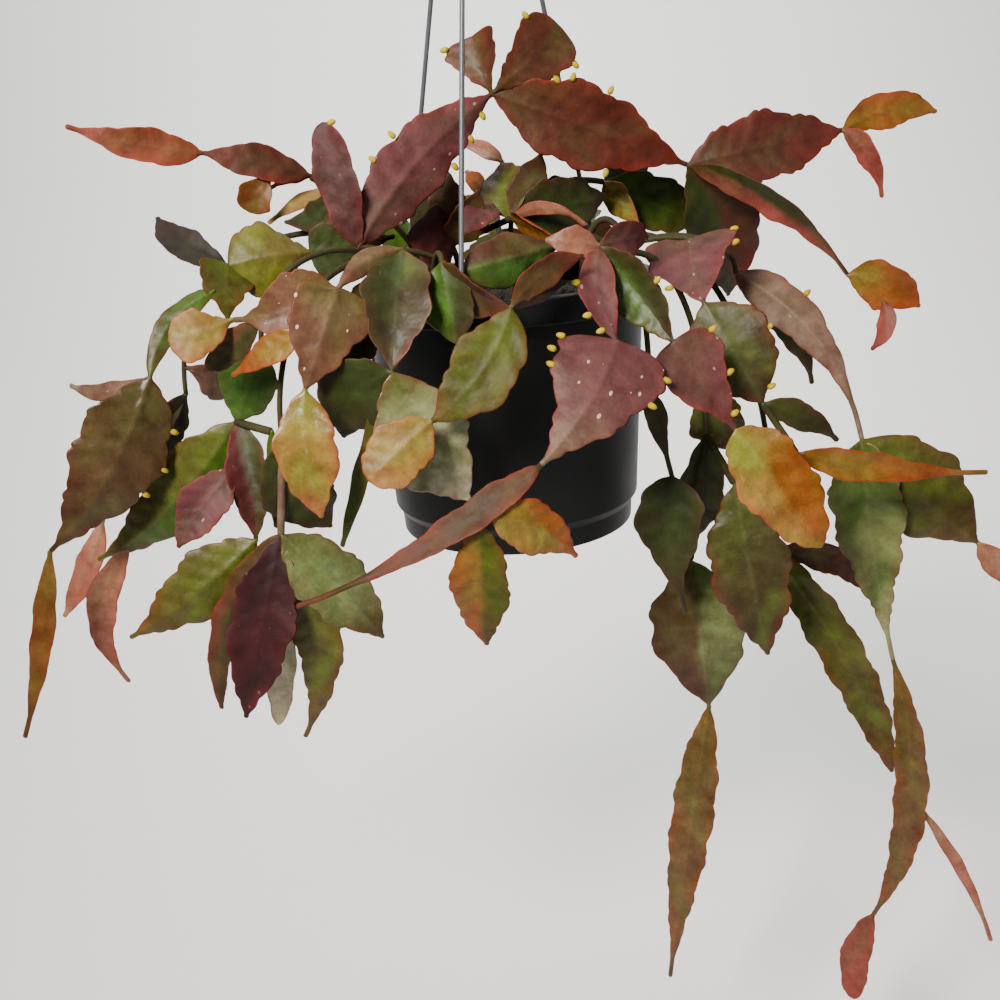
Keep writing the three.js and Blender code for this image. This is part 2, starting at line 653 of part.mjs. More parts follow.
/** Pot: a turned wall with foot, flange and collar skirt, cut by drain and wire holes. */
function potBody(wires) {
  const flangeLow = POT_HEIGHT - FLANGE_THICK;
  const collarLow = POT_HEIGHT - COLLAR_HEIGHT;
  const skirtInner = RIM_RADIUS - WALL_THICK;
  const pot = turned([
    [0, 0],
    [FOOT_RADIUS, 0],
    [FOOT_RADIUS + 0.6, FOOT_HEIGHT],
    [WALL_LOW_RADIUS, FOOT_HEIGHT + 4],
    [WALL_TOP_RADIUS, flangeLow],
    [skirtInner, flangeLow],
    [skirtInner, collarLow],
    [RIM_RADIUS, collarLow],
    [RIM_RADIUS, POT_HEIGHT],
    [WALL_TOP_RADIUS - WALL_THICK, POT_HEIGHT],
    [WALL_LOW_RADIUS - WALL_THICK, FOOT_HEIGHT + 4.5],
    [FOOT_RADIUS - WALL_THICK, FLOOR_THICK],
    [0, FLOOR_THICK],
  ], POT_SIDES);
  const panel = new THREE.BoxGeometry(PANEL_WIDTH, 3, PANEL_HEIGHT);
  panel.translate(PANEL_SHIFT, -RIM_RADIUS + 1.2, POT_HEIGHT - COLLAR_HEIGHT / 2 - 0.5);
  const drains = Array.from({ length: DRAIN_COUNT }, (_, i) => {
    const angle = (i / DRAIN_COUNT) * Math.PI * 2 + DRAIN_TURN;
    const under = new THREE.Vector3(DRAIN_RING * Math.cos(angle), DRAIN_RING * Math.sin(angle), -1);
    const above = under.clone().setZ(FLOOR_THICK + 1);
    return rod(under, above, DRAIN_RADIUS, 12);
  });
  const wireHoles = wires.map(({ low, high }) => {
    const along = high.clone().sub(low).normalize();
    const from = low.clone().addScaledVector(along, -1);
    const to = low.clone().addScaledVector(along, 10);
    return rod(from, to, WIRE_RADIUS + FIT, WIRE_SIDES);
  });
  return fuse([pot, solid(panel)]).subtract(fuse([...drains, ...wireHoles]));
}

/** Soil: fills the pot up to a low mound, with a plain hole for each stalk. */
function soilBody(roots) {
  const inner = WALL_THICK + FIT + 0.3;
  const slope = (WALL_TOP_RADIUS - WALL_LOW_RADIUS) / (POT_HEIGHT - FOOT_HEIGHT - 4);
  const topRadius = WALL_LOW_RADIUS + slope * (SOIL_TOP - FOOT_HEIGHT - 4) - inner;
  const soil = turned([
    [0, FLOOR_THICK + FIT],
    [FOOT_RADIUS - inner - 1.2, FLOOR_THICK + FIT],
    [FOOT_RADIUS - inner - 0.6, FOOT_HEIGHT + 4],
    [WALL_LOW_RADIUS - inner - 0.3, FOOT_HEIGHT + 8],
    [topRadius, SOIL_TOP - 1.5],
    [topRadius - 3, SOIL_TOP],
    [topRadius * 0.5, SOIL_TOP + SOIL_MOUND * 0.7],
    [0, SOIL_TOP + SOIL_MOUND],
  ], 20);
  const holes = roots.map(([x, y]) => rod(
    new THREE.Vector3(x, y, SOIL_TOP - STALK_DEPTH - FIT),
    new THREE.Vector3(x, y, SOIL_TOP + SOIL_MOUND * 3),
    STALK_RADIUS + 2 * FIT,
    5,
  ));
  return soil.subtract(fuse(holes));
}

/** The line of one hanger wire, from under the rim's flange up into the hub. */
function wireLine(degrees) {
  const angle = THREE.MathUtils.degToRad(degrees);
  const ring = (radius, z) => new THREE.Vector3(radius * Math.cos(angle), radius * Math.sin(angle), z);
  const low = ring(WIRE_RING, POT_HEIGHT - FLANGE_THICK - WIRE_RADIUS - 1);
  const high = ring(HUB_RING, HUB_LOW + HUB_HEIGHT - 4);
  const tangent = new THREE.Vector3(-Math.sin(angle), Math.cos(angle), 0);
  return { low, high, tangent };
}

/** Hanger wire: a straight rod with a short foot turned sideways under the flange. */
function wireBody({ low, high, tangent }) {
  const along = high.clone().sub(low).normalize();
  const bend = low.clone().addScaledVector(along, -WIRE_RADIUS * 0.6);
  const shaft = rod(bend, high, WIRE_RADIUS, WIRE_SIDES);
  const heel = low.clone().addScaledVector(tangent, -WIRE_RADIUS * 0.6);
  const toe = low.clone().addScaledVector(tangent, WIRE_FOOT);
  return shaft.add(rod(heel, toe, WIRE_RADIUS, WIRE_SIDES));
}

/** Hanging hook: the crimped hub that holds the wires and the round hook that grows out of it. */
function hookBody(wires) {
  const top = HUB_LOW + HUB_HEIGHT;
  const hub = turned([
    [0, HUB_LOW],
    [HUB_RADIUS - 1, HUB_LOW],
    [HUB_RADIUS, HUB_LOW + 1],
    [HUB_RADIUS, top - 3],
    [HOOK_WIRE + 1, top],
    [0, top],
  ], 16);
  const points = [
    new THREE.Vector3(0, 0, top - 5),
    new THREE.Vector3(0, 0, top + 1),
    new THREE.Vector3(2.5, 0, top + 6),
  ];
  for (let angle = -25; angle <= HOOK_TIP; angle += 23) {
    const turn = THREE.MathUtils.degToRad(angle);
    points.push(new THREE.Vector3(
      HOOK_RADIUS * Math.cos(turn),
      0,
      HOOK_CENTRE + HOOK_RADIUS * Math.sin(turn),
    ));
  }
  const hook = bentRod(new THREE.CatmullRomCurve3(points), HOOK_WIRE, 6, 20);
  const sockets = wires.map(({ low, high }) => {
    const along = high.clone().sub(low).normalize();
    const from = high.clone().addScaledVector(along, -20);
    const to = high.clone().addScaledVector(along, FIT);
    return rod(from, to, WIRE_RADIUS + FIT, WIRE_SIDES);
  });
  return fuse([hub, hook]).subtract(fuse(sockets));
}

// Assembly, standing on the pot's underside and then hung so that the hook's seat is at zero.
const plant = new THREE.Group();
plant.position.z = -HOOK_SEAT;

/** Adds one named piece with its own material. */
function addPiece(name, body, color, roughness, metalness = 0) {
  const material = new THREE.MeshStandardMaterial({ color, roughness, metalness });
  const mesh = new THREE.Mesh(geometryOf(body), material);
  mesh.name = name;
  plant.add(mesh);
}

const wires = WIRE_ANGLES.map(wireLine);
const roots = STEMS.flatMap(({ stalks }) => stalks.map(([, root]) => root));
BACK_ANGLES.forEach((angle) => roots.push(around(angle, BACK_ROOT, 0).toArray()));
addPiece('pot', potBody(wires), 0x17191b, 0.55);
addPiece('soil', soilBody(roots), 0x33271d, 0.95);
wires.forEach((wire, i) => addPiece(`hanger_wire_${i + 1}`, wireBody(wire), 0x3c4043, 0.4, 0.6));
addPiece('hanging_hook', hookBody(wires), 0x2b2e30, 0.45, 0.5);
STEMS.forEach((stem) => addPiece(stem.name, leafyStem(stem), stem.color, 0.45));
BACK_ANGLES.forEach((angle, i) => addPiece(`stem_back_${i + 1}`, backStem(angle, i), 0x5f5a38, 0.45));

const group = new THREE.Group();
group.add(plant);
export default group;
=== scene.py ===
# Potted Rhipsalis rhombea, a jungle cactus of flat scalloped stem joints, in a black nursery
# pot on a three-wire hanger. Lengths are in metres, with +Z up and the hook's seat at zero.
import math

import bmesh
import bpy
import numpy as np
from mathutils import Matrix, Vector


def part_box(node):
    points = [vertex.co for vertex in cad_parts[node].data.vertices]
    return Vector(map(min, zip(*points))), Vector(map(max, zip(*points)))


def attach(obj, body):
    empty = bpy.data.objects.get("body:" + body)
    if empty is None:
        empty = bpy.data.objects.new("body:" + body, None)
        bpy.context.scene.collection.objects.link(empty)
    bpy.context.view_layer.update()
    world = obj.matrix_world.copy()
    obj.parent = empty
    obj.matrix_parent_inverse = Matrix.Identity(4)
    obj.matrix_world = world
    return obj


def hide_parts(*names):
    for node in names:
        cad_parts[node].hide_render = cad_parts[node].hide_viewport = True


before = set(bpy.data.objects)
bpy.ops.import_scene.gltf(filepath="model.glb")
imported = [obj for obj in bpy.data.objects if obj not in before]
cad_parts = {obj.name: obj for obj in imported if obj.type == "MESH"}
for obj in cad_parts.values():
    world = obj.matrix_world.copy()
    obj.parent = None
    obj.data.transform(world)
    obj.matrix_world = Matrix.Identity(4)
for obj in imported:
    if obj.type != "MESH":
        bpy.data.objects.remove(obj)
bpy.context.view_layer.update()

# Viewpoint: the eye stands a little left of the pot's axis and looks down on the rim, with the
# picture turned slightly. The picture is square and FOCAL is given in its thousandths.
MM = 0.001
POT_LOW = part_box("pot")[0][2]
EYE = np.array((-9.0, -620.0, 215.0)) * MM + (0.0, 0.0, POT_LOW)
EYE_PITCH = math.radians(18.4)
EYE_ROLL = math.radians(3.8)
PICTURE = 1000
FOCAL = 1240

camera = bpy.data.objects.new("camera", bpy.data.cameras.new("camera"))
bpy.context.scene.collection.objects.link(camera)
bpy.context.scene.camera = camera
camera.data.sensor_width = 36.0
camera.data.lens = camera.data.sensor_width * FOCAL / PICTURE
camera.data.clip_start = 0.01
level_up = np.array((0.0, math.sin(EYE_PITCH), math.cos(EYE_PITCH)))
level_right = np.array((1.0, 0.0, 0.0))
look = np.array((0.0, math.cos(EYE_PITCH), -math.sin(EYE_PITCH)))
picture_right = math.cos(EYE_ROLL) * level_right - math.sin(EYE_ROLL) * level_up
picture_up = math.sin(EYE_ROLL) * level_right + math.cos(EYE_ROLL) * level_up
turn = Matrix(np.column_stack((picture_right, picture_up, -look)).tolist()).to_4x4()
camera.matrix_world = Matrix.Translation(EYE.tolist()) @ turn


# Pot: one piece of black polypropylene, injection moulded, with a skirted collar, a flange that
# the wires hook under, a stepped foot and five drain holes in the floor.
POT_HEIGHT = 125 * MM
RIM_RADIUS = 75 * MM
COLLAR_HEIGHT = 12 * MM
FLANGE_THICK = 3 * MM
WALL_THICK = 1.7 * MM
WALL_TOP_RADIUS = 69 * MM
WALL_LOW_RADIUS = 63 * MM
FOOT_RADIUS = 59.5 * MM
FOOT_HEIGHT = 10 * MM
FLOOR_THICK = 2.2 * MM
DRAIN_RADIUS = 4 * MM
DRAIN_RING = 38 * MM
DRAIN_COUNT = 5
DRAIN_TURN = 0.3
WIRE_RADIUS = 1.2 * MM
WIRE_RING = 71.2 * MM
WIRE_ANGLES = (253, 136, 43)
HUB_LOW = 379 * MM
HUB_HEIGHT = 13 * MM
HUB_RING = 3.3 * MM


def linear(hex_colour):
    """Linear red, green, blue and alpha of an sRGB hex colour."""
    channels = np.array([int(hex_colour[i:i + 2], 16) / 255 for i in (1, 3, 5)])
    curve = np.where(channels <= 0.04045, channels / 12.92, ((channels + 0.055) / 1.055) ** 2.4)
    return (*curve.tolist(), 1.0)


def add_node(material, kind, inputs=None, **settings):
    """Adds one shader node; inputs gives a socket's value, or the output that it reads."""
    node = material.node_tree.nodes.new("ShaderNode" + kind)
    for name, value in settings.items():
        setattr(node, name, value)
    for name, value in (inputs or {}).items():
        if isinstance(value, bpy.types.NodeSocket):
            material.node_tree.links.new(value, node.inputs[name])
        else:
            node.inputs[name].default_value = value
    return node


def new_finish(name):
    """A material and its Principled shader."""
    material = bpy.data.materials.new(name)
    material.use_nodes = True
    return material, material.node_tree.nodes["Principled BSDF"]


def feed(material, output, shader, socket):
    """Links an output to a shader's socket."""
    material.node_tree.links.new(output, shader.inputs[socket])


def rounded(points, radius, steps=4):
    """A line of points with each inner corner replaced by an arc: a quadratic curve from
    radius before the corner to radius after it, held by the corner."""
    points = np.asarray(points, float)
    t = np.linspace(0, 1, steps + 1)[:, None]
    line = [points[:1]]
    for before, corner, after in zip(points[:-2], points[1:-1], points[2:]):
        back, on = before - corner, after - corner
        reach = min(radius, 0.45 * np.linalg.norm(back), 0.45 * np.linalg.norm(on))
        start = corner + back / np.linalg.norm(back) * reach
        end = corner + on / np.linalg.norm(on) * reach
        line.append((1 - t) ** 2 * start + 2 * t * (1 - t) * corner + t ** 2 * end)
    return np.concatenate((*line, points[-1:]))


def round_angles(sides):
    """Angles of a ring's points: equal steps from zero up to a full turn."""
    return np.arange(sides) / sides * 2 * math.pi


def ring_faces(rings, sides):
    """Four-cornered faces between each ring of points and the next one."""
    row = np.arange(rings - 1)[:, None] * sides
    column = np.arange(sides)[None]
    after = (column + 1) % sides
    faces = np.stack((row + column, row + after, row + sides + after, row + sides + column), axis=-1)
    return faces.reshape(-1, 4)


def closed_faces(rings, sides):
    """Ring faces, and a fan at each end. The fans close on two points that follow the rings'
    own: the first ring's, then the last ring's."""
    pole = rings * sides
    last = pole - sides
    round_once = [(a, (a + 1) % sides) for a in range(sides)]
    low_fan = [[pole, b, a] for a, b in round_once]
    high_fan = [[pole + 1, last + a, last + b] for a, b in round_once]
    return ring_faces(rings, sides).tolist() + low_fan + high_fan


def turned(profile, sides):
    """Vertices and faces of a profile of radius and height carried round the Z axis: x is
    radius times cosine, y is radius times sine, and z is the height."""
    profile = np.asarray(profile)
    angle = round_angles(sides)
    ring = np.stack((np.cos(angle), np.sin(angle)), axis=1)
    flat = profile[:, None, :1] * ring[None]
    height = np.broadcast_to(profile[:, None, 1:], (*flat.shape[:2], 1))
    vertices = np.concatenate((flat, height), axis=2).reshape(-1, 3)
    return vertices, ring_faces(len(profile), sides)


def new_piece(name, vertices, faces, weld=True):
    """A mesh object at the origin, with double points welded and its faces turned outwards."""
    mesh = bpy.data.meshes.new(name)
    mesh.from_pydata(vertices.tolist(), [], faces if isinstance(faces, list) else faces.tolist())
    clean = bmesh.new()
    clean.from_mesh(mesh)
    if weld:
        bmesh.ops.remove_doubles(clean, verts=clean.verts, dist=1e-6)
    bmesh.ops.recalc_face_normals(clean, faces=clean.faces)
    clean.to_mesh(mesh)
    clean.free()
    mesh.shade_smooth()
    piece = bpy.data.objects.new(name, mesh)
    bpy.context.scene.collection.objects.link(piece)
    return piece


def cut(piece, cutter):
    """Takes a cutter's volume out of a piece, for good."""
    modifier = piece.modifiers.new("cut", "BOOLEAN")
    modifier.operation = "DIFFERENCE"
    modifier.solver = "EXACT"
    modifier.object = cutter
    result = bpy.data.meshes.new_from_object(piece.evaluated_get(bpy.context.evaluated_depsgraph_get()))
    piece.modifiers.clear()
    piece.data = result
    bpy.data.objects.remove(cutter)


def peg(low, high, radius, sides=24):
    """Vertices and faces of a closed round peg between two points."""
    low, high = np.asarray(low), np.asarray(high)
    axis = (high - low) / np.linalg.norm(high - low)
    first = np.cross(axis, (0.31, 0.95, 0.05))
    first /= np.linalg.norm(first)
    second = np.cross(axis, first)
    angle = round_angles(sides)
    ring = radius * (np.cos(angle)[:, None] * first + np.sin(angle)[:, None] * second)
    return np.concatenate((low + ring, high + ring, [low, high])), closed_faces(2, sides)


def wire_ends(degrees):
    """Low and high end of one hanger wire, and the way its foot turns, seen from its angle."""
    angle = math.radians(degrees)
    outward = np.array((math.cos(angle), math.sin(angle), 0.0))
    low = outward * WIRE_RING + (0, 0, POT_LOW + POT_HEIGHT - FLANGE_THICK - WIRE_RADIUS - 1 * MM)
    high = outward * HUB_RING + (0, 0, POT_LOW + HUB_LOW + HUB_HEIGHT - 4 * MM)
    sideways = np.array((-math.sin(angle), math.cos(angle), 0.0))
    return low, high, sideways


flange_low = POT_HEIGHT - FLANGE_THICK
collar_low = POT_HEIGHT - COLLAR_HEIGHT
skirt_inner = RIM_RADIUS - WALL_THICK
pot_profile = np.concatenate((
    [[0, 0]],
    rounded([
        (FOOT_RADIUS - 12 * MM, 0),
        (FOOT_RADIUS, 0),
        (FOOT_RADIUS + 0.6 * MM, FOOT_HEIGHT),
        (WALL_LOW_RADIUS, FOOT_HEIGHT + 4 * MM),
        (WALL_TOP_RADIUS, flange_low),
        (skirt_inner, flange_low),
        (skirt_inner, collar_low),
        (RIM_RADIUS, collar_low),
        (RIM_RADIUS, POT_HEIGHT),
        (WALL_TOP_RADIUS - WALL_THICK, POT_HEIGHT),
        (WALL_LOW_RADIUS - WALL_THICK, FOOT_HEIGHT + 4.5 * MM),
        (FOOT_RADIUS - WALL_THICK, FLOOR_THICK),
        (FOOT_RADIUS - 12 * MM, FLOOR_THICK),
    ], radius=0.7 * MM),
    [[0, FLOOR_THICK]],
)) + (0, POT_LOW)
pot = new_piece("moulded_pot", *turned(pot_profile, sides=144))

for index in range(DRAIN_COUNT):
    angle = index / DRAIN_COUNT * 2 * math.pi + DRAIN_TURN
    centre = np.array((DRAIN_RING * math.cos(angle), DRAIN_RING * math.sin(angle), POT_LOW))
    under, above = centre - (0, 0, MM), centre + (0, 0, FLOOR_THICK + MM)
    cut(pot, new_piece("drain", *peg(under, above, DRAIN_RADIUS)))
for degrees in WIRE_ANGLES:
    low, high, _ = wire_ends(degrees)
    rise = (high - low) / np.linalg.norm(high - low)
    cut(pot, new_piece("hole", *peg(low - rise * MM, low + rise * 10 * MM, WIRE_RADIUS + 0.35 * MM)))
pot.data.set_sharp_from_angle(angle=math.radians(40))

# The panel is a low blank plate moulded on the collar's front, with a fine raised frame.
PANEL_WIDTH = 20 * MM
PANEL_HEIGHT = 9 * MM
PANEL_SHIFT = 12 * MM
PANEL_COLUMNS = 13


def curved_plate(centre_x, centre_z, width, height, inner, outer):
    """Vertices and faces of a block bent round the pot: its corners lie at the angles whose
    sine is x over the radius, between an inner and an outer radius."""
    across = np.linspace(centre_x - width / 2, centre_x + width / 2, PANEL_COLUMNS) / RIM_RADIUS
    angle = np.arcsin(across)
    lines = []
    for radius, z in ((inner, -1), (outer, -1), (outer, 1), (inner, 1)):
        level = np.full(PANEL_COLUMNS, centre_z + z * height / 2)
        lines.append(np.stack((radius * np.sin(angle), -radius * np.cos(angle), level), axis=1))
    vertices = np.stack(lines, axis=1).reshape(-1, 3)
    last = 4 * (PANEL_COLUMNS - 1)
    ends = [[3, 2, 1, 0], [last, last + 1, last + 2, last + 3]]
    return vertices, ring_faces(PANEL_COLUMNS, 4).tolist() + ends


panel_z = POT_LOW + POT_HEIGHT - COLLAR_HEIGHT / 2 - 0.5 * MM
panel = new_piece("collar_panel", *curved_plate(
    PANEL_SHIFT, panel_z, PANEL_WIDTH, PANEL_HEIGHT, RIM_RADIUS - MM, RIM_RADIUS + 0.35 * MM))
cut(panel, new_piece("inset", *curved_plate(
    PANEL_SHIFT, panel_z, PANEL_WIDTH - 1.6 * MM, PANEL_HEIGHT - 1.6 * MM,
    RIM_RADIUS + 0.1 * MM, RIM_RADIUS + MM)))
panel.data.set_sharp_from_angle(angle=math.radians(30))

# Injection-moulded polypropylene, black with carbon: a soft sheen, a very fine spark texture
# from the mould (grit 0.4 mm) and a trace of dust and lime in patches all over.
pot_plastic, shader = new_finish("black_moulded_polypropylene")
shader.inputs["IOR"].default_value = 1.49
shader.inputs["Specular IOR Level"].default_value = 0.2
place_of = add_node(pot_plastic, "TexCoord").outputs["Object"]
dust = add_node(pot_plastic, "TexNoise", {"Vector": place_of, "Scale": 38.0, "Detail": 6.0})
dust_amount = add_node(pot_plastic, "MapRange", {
    "Value": dust.outputs["Fac"], "From Min": 0.5, "From Max": 0.8, "To Max": 0.35})
tone = add_node(pot_plastic, "MixRGB", {
    "Fac": dust_amount.outputs["Result"], "Color1": linear("#0b0c0d"), "Color2": linear("#1a1a19")})
feed(pot_plastic, tone.outputs["Color"], shader, "Base Color")
scuff = add_node(pot_plastic, "MapRange", {
    "Value": dust.outputs["Fac"], "To Min": 0.42, "To Max": 0.58})
feed(pot_plastic, scuff.outputs["Result"], shader, "Roughness")
grit = add_node(pot_plastic, "TexNoise", {"Vector": place_of, "Scale": 1 / (0.4 * MM), "Detail": 2.0})
relief = add_node(pot_plastic, "Bump", {
    "Strength": 0.12, "Distance": 0.1 * MM, "Height": grit.outputs["Fac"]})
feed(pot_plastic, relief.outputs["Normal"], shader, "Normal")

for piece in (pot, panel):
    piece.data.materials.clear()
    piece.data.materials.append(pot_plastic)
    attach(piece, "root")
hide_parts("pot")


# Soil: a peat and bark potting mix that fills the pot to just under the rim, crumbly on top.
SOIL_TOP = 113 * MM
SOIL_MOUND = 3 * MM
GRAIN_COUNT = 900
soil_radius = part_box("soil")[1][0] - 0.2 * MM


def soil_height(radius):
    """Height of the mound over the pot's underside: a low dome that falls off at the wall."""
    share = radius / soil_radius
    return SOIL_TOP + SOIL_MOUND * (1 - share ** 2) - 1.5 * MM * share ** 12


def crumbs(random, centres, sizes):
    """Vertices and faces of lumps: an octahedron cut once, with its points pushed in or out."""
    corners = np.array([(1, 0, 0), (-1, 0, 0), (0, 1, 0), (0, -1, 0), (0, 0, 1), (0, 0, -1)], float)
    edges = [(a, b) for a in range(6) for b in range(a + 1, 6) if a // 2 != b // 2]
    middles = np.array([corners[a] + corners[b] for a, b in edges])
    shell = np.concatenate((corners, middles / np.linalg.norm(middles, axis=1)[:, None]))
    number = {edge: 6 + i for i, edge in enumerate(edges)}
    faces = []
    for a in (0, 1):
        for b in (2, 3):
            for c in (4, 5):
                ab, bc, ac = number[a, b], number[b, c], number[a, c]
                faces += [(a, ab, ac), (b, bc, ab), (c, ac, bc), (ab, bc, ac)]
    push = random.uniform(0.65, 1.25, (len(centres), len(shell), 1))
    squash = random.uniform(0.5, 1.0, (len(centres), 1, 3))
    vertices = centres[:, None] + shell[None] * push * squash * sizes[:, None, None]
    shift = np.arange(len(centres))[:, None, None] * len(shell)
    return vertices.reshape(-1, 3), (np.array(faces)[None] + shift).reshape(-1, 3)


random = np.random.default_rng(5)
radii = np.linspace(0, soil_radius, num=40)
top = np.stack((radii, POT_LOW + soil_height(radii)), axis=1)
soil_profile = np.concatenate((
    [[0, POT_LOW + FLOOR_THICK + 0.5 * MM]],
    [[FOOT_RADIUS - 4 * MM, POT_LOW + FLOOR_THICK + 0.5 * MM]],
    [[WALL_LOW_RADIUS - 3 * MM, POT_LOW + FOOT_HEIGHT + 8 * MM]],
    top[::-1],
))
vertices, faces = turned(soil_profile, sides=120)
is_top = vertices[:, 2] > POT_LOW + SOIL_TOP - 4 * MM
vertices[is_top, 2] += random.normal(0, 0.45 * MM, is_top.sum())
soil = new_piece("potting_soil", vertices, faces)
spread = soil_radius * np.sqrt(random.uniform(0, 0.97, GRAIN_COUNT))
angle = random.uniform(0, 2 * math.pi, GRAIN_COUNT)
level = POT_LOW + soil_height(spread)
centres = np.stack((spread * np.cos(angle), spread * np.sin(angle), level), axis=1)
sizes = random.uniform(0.5, 1.9, GRAIN_COUNT) ** 1.4 * MM
grains = new_piece("soil_crumbs", *crumbs(random, centres, sizes))

# Peat and bark potting mix, fully rough: fibre and lighter bark crumbs, both darkened nearly to
# black, partly as painted shade for the shade inside the pot under the rim and the joints.
peat, shader = new_finish("peat_mix_with_painted_shade")
shader.inputs["IOR"].default_value = 1.4
place_of = add_node(peat, "TexCoord").outputs["Object"]
crumb = add_node(peat, "TexVoronoi", {"Vector": place_of, "Scale": 1 / (2.2 * MM)})
tone = add_node(peat, "MixRGB", {
    "Fac": crumb.outputs["Distance"], "Color1": linear("#0c0907"), "Color2": linear("#1e1610")})
feed(peat, tone.outputs["Color"], shader, "Base Color")
fibre = add_node(peat, "TexNoise", {"Vector": place_of, "Scale": 1 / (0.8 * MM), "Detail": 4.0})
damp = add_node(peat, "MapRange", {"Value": fibre.outputs["Fac"], "To Min": 0.75, "To Max": 1.0})
feed(peat, damp.outputs["Result"], shader, "Roughness")
relief = add_node(peat, "Bump", {
    "Strength": 0.6, "Distance": 0.6 * MM, "Height": fibre.outputs["Fac"]})
feed(peat, relief.outputs["Normal"], shader, "Normal")

for piece in (soil, grains):
    piece.data.materials.append(peat)
    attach(piece, "root")
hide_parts("soil")


# Hanger wires: three straight lengths of 2.4 mm steel wire with a grey plastic coat. Each foot
# is bent sideways under the pot's flange, and the tops run together into the hub.
WIRE_FOOT = 7 * MM


def swept(path, radius, across, sides):
    """Vertices and faces of a round rod along a path that lies in one plane: each ring is the
    radius times (cosine of the plane's normal plus sine of the path's own normal). A radius may
    change along the path, and both ends close on a point."""
    path = np.asarray(path, float)
    across = np.asarray(across, float) / np.linalg.norm(across)
    tangent = np.gradient(path, axis=0)
    tangent /= np.linalg.norm(tangent, axis=1)[:, None]
    upward = np.cross(tangent, across)
    angle = round_angles(sides)
    radius = np.broadcast_to(radius, len(path))[:, None, None]
    ring = path[:, None] + radius * (
        np.cos(angle)[None, :, None] * across + np.sin(angle)[None, :, None] * upward[:, None])
    vertices = np.concatenate((ring.reshape(-1, 3), path[:1], path[-1:]))
    return vertices, closed_faces(len(path), sides)


# Plastic-coated steel wire: smooth, semi-gloss dark grey, slightly uneven where it was drawn.
wire_coat, shader = new_finish("grey_plastic_coated_wire")
shader.inputs["IOR"].default_value = 1.5
place_of = add_node(wire_coat, "TexCoord").outputs["Object"]
draw = add_node(wire_coat, "TexNoise", {"Vector": place_of, "Scale": 90.0, "Detail": 3.0})
tone = add_node(wire_coat, "MixRGB", {
    "Fac": draw.outputs["Fac"], "Color1": linear("#3a3f43"), "Color2": linear("#5b6064")})
feed(wire_coat, tone.outputs["Color"], shader, "Base Color")
polish = add_node(wire_coat, "MapRange", {"Value": draw.outputs["Fac"], "To Min": 0.28, "To Max": 0.42})
feed(wire_coat, polish.outputs["Result"], shader, "Roughness")

for index, degrees in enumerate(WIRE_ANGLES, start=1):
    low, high, sideways = wire_ends(degrees)
    toe = low + sideways * WIRE_FOOT
    path = rounded([toe, low, high], radius=2.2 * MM, steps=8)
    path = np.concatenate((path[:-1], np.linspace(path[-2], path[-1], num=30)[1:]))
    outward = np.cross(sideways, high - low)
    wire = new_piece(f"coated_wire_{index}", *swept(path, WIRE_RADIUS, outward, sides=20))
    wire.data.materials.append(wire_coat)
    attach(wire, "root")
    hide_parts(f"hanger_wire_{index}")


# Hanging hook: a turned plastic hub that is crimped over the wires' tops, with a round open hook
# of 3.5 mm wire growing out of it. Its seat is the row's origin.
HUB_RADIUS = 6 * MM
HOOK_WIRE = 1.75 * MM
HOOK_RADIUS = 12.75 * MM
HOOK_START = math.radians(-25)
HOOK_TIP = math.radians(205)


def cubic(handles, steps):
    """Points of a curve from its start by two handles to its end. The four are weighted by
    (1 - t)^3, 3t(1 - t)^2, 3t^2(1 - t) and t^3, as t goes from zero to one."""
    start, first, second, end = handles
    t = np.linspace(0, 1, steps)[:, None]
    near_start = (1 - t) ** 3 * start + 3 * t * (1 - t) ** 2 * first
    return near_start + 3 * t ** 2 * (1 - t) * second + t ** 3 * end


hub_low = POT_LOW + HUB_LOW
hub_top = hub_low + HUB_HEIGHT
hub_profile = np.concatenate((
    [[0, hub_low]],
    rounded([
        (2 * MM, hub_low),
        (HUB_RADIUS - MM, hub_low),
        (HUB_RADIUS, hub_low + MM),
        (HUB_RADIUS, hub_low + 3.4 * MM),
        (HUB_RADIUS - 0.5 * MM, hub_low + 4 * MM),
        (HUB_RADIUS, hub_low + 4.6 * MM),
        (HUB_RADIUS, hub_low + 6.4 * MM),
        (HUB_RADIUS - 0.5 * MM, hub_low + 7 * MM),
        (HUB_RADIUS, hub_low + 7.6 * MM),
        (HUB_RADIUS, hub_top - 3 * MM),
        (HOOK_WIRE + MM, hub_top),
        (HOOK_WIRE * 0.8, hub_top),
    ], radius=0.5 * MM, steps=3),
    [[0, hub_top]],
))
hub = new_piece("crimped_hub", *turned(hub_profile, sides=64))
hub.data.set_sharp_from_angle(angle=math.radians(50))

centre_z = -(HOOK_RADIUS - HOOK_WIRE)
start = np.array((HOOK_RADIUS * math.cos(HOOK_START), centre_z + HOOK_RADIUS * math.sin(HOOK_START)))
start_way = np.array((-math.sin(HOOK_START), math.cos(HOOK_START)))
shank = np.array((0, hub_top - 3 * MM))
handles = (shank, shank + (0, 10 * MM), start - 8 * MM * start_way, start)
bend = np.linspace(HOOK_START, HOOK_TIP, num=80)
arc = np.stack((HOOK_RADIUS * np.cos(bend), centre_z + HOOK_RADIUS * np.sin(bend)), axis=1)
flat_path = np.concatenate((cubic(handles, steps=30)[:-1], arc))
path = np.stack((flat_path[:, 0], np.zeros(len(flat_path)), flat_path[:, 1]), axis=1)
to_tip = np.linalg.norm(path - path[-1], axis=1) / HOOK_WIRE
round_end = HOOK_WIRE * np.sqrt(np.clip(1 - np.clip(1 - to_tip, 0, 1) ** 2, 0.02, 1))
hook = new_piece("round_hook", *swept(path, round_end, (0, 1, 0), sides=24))

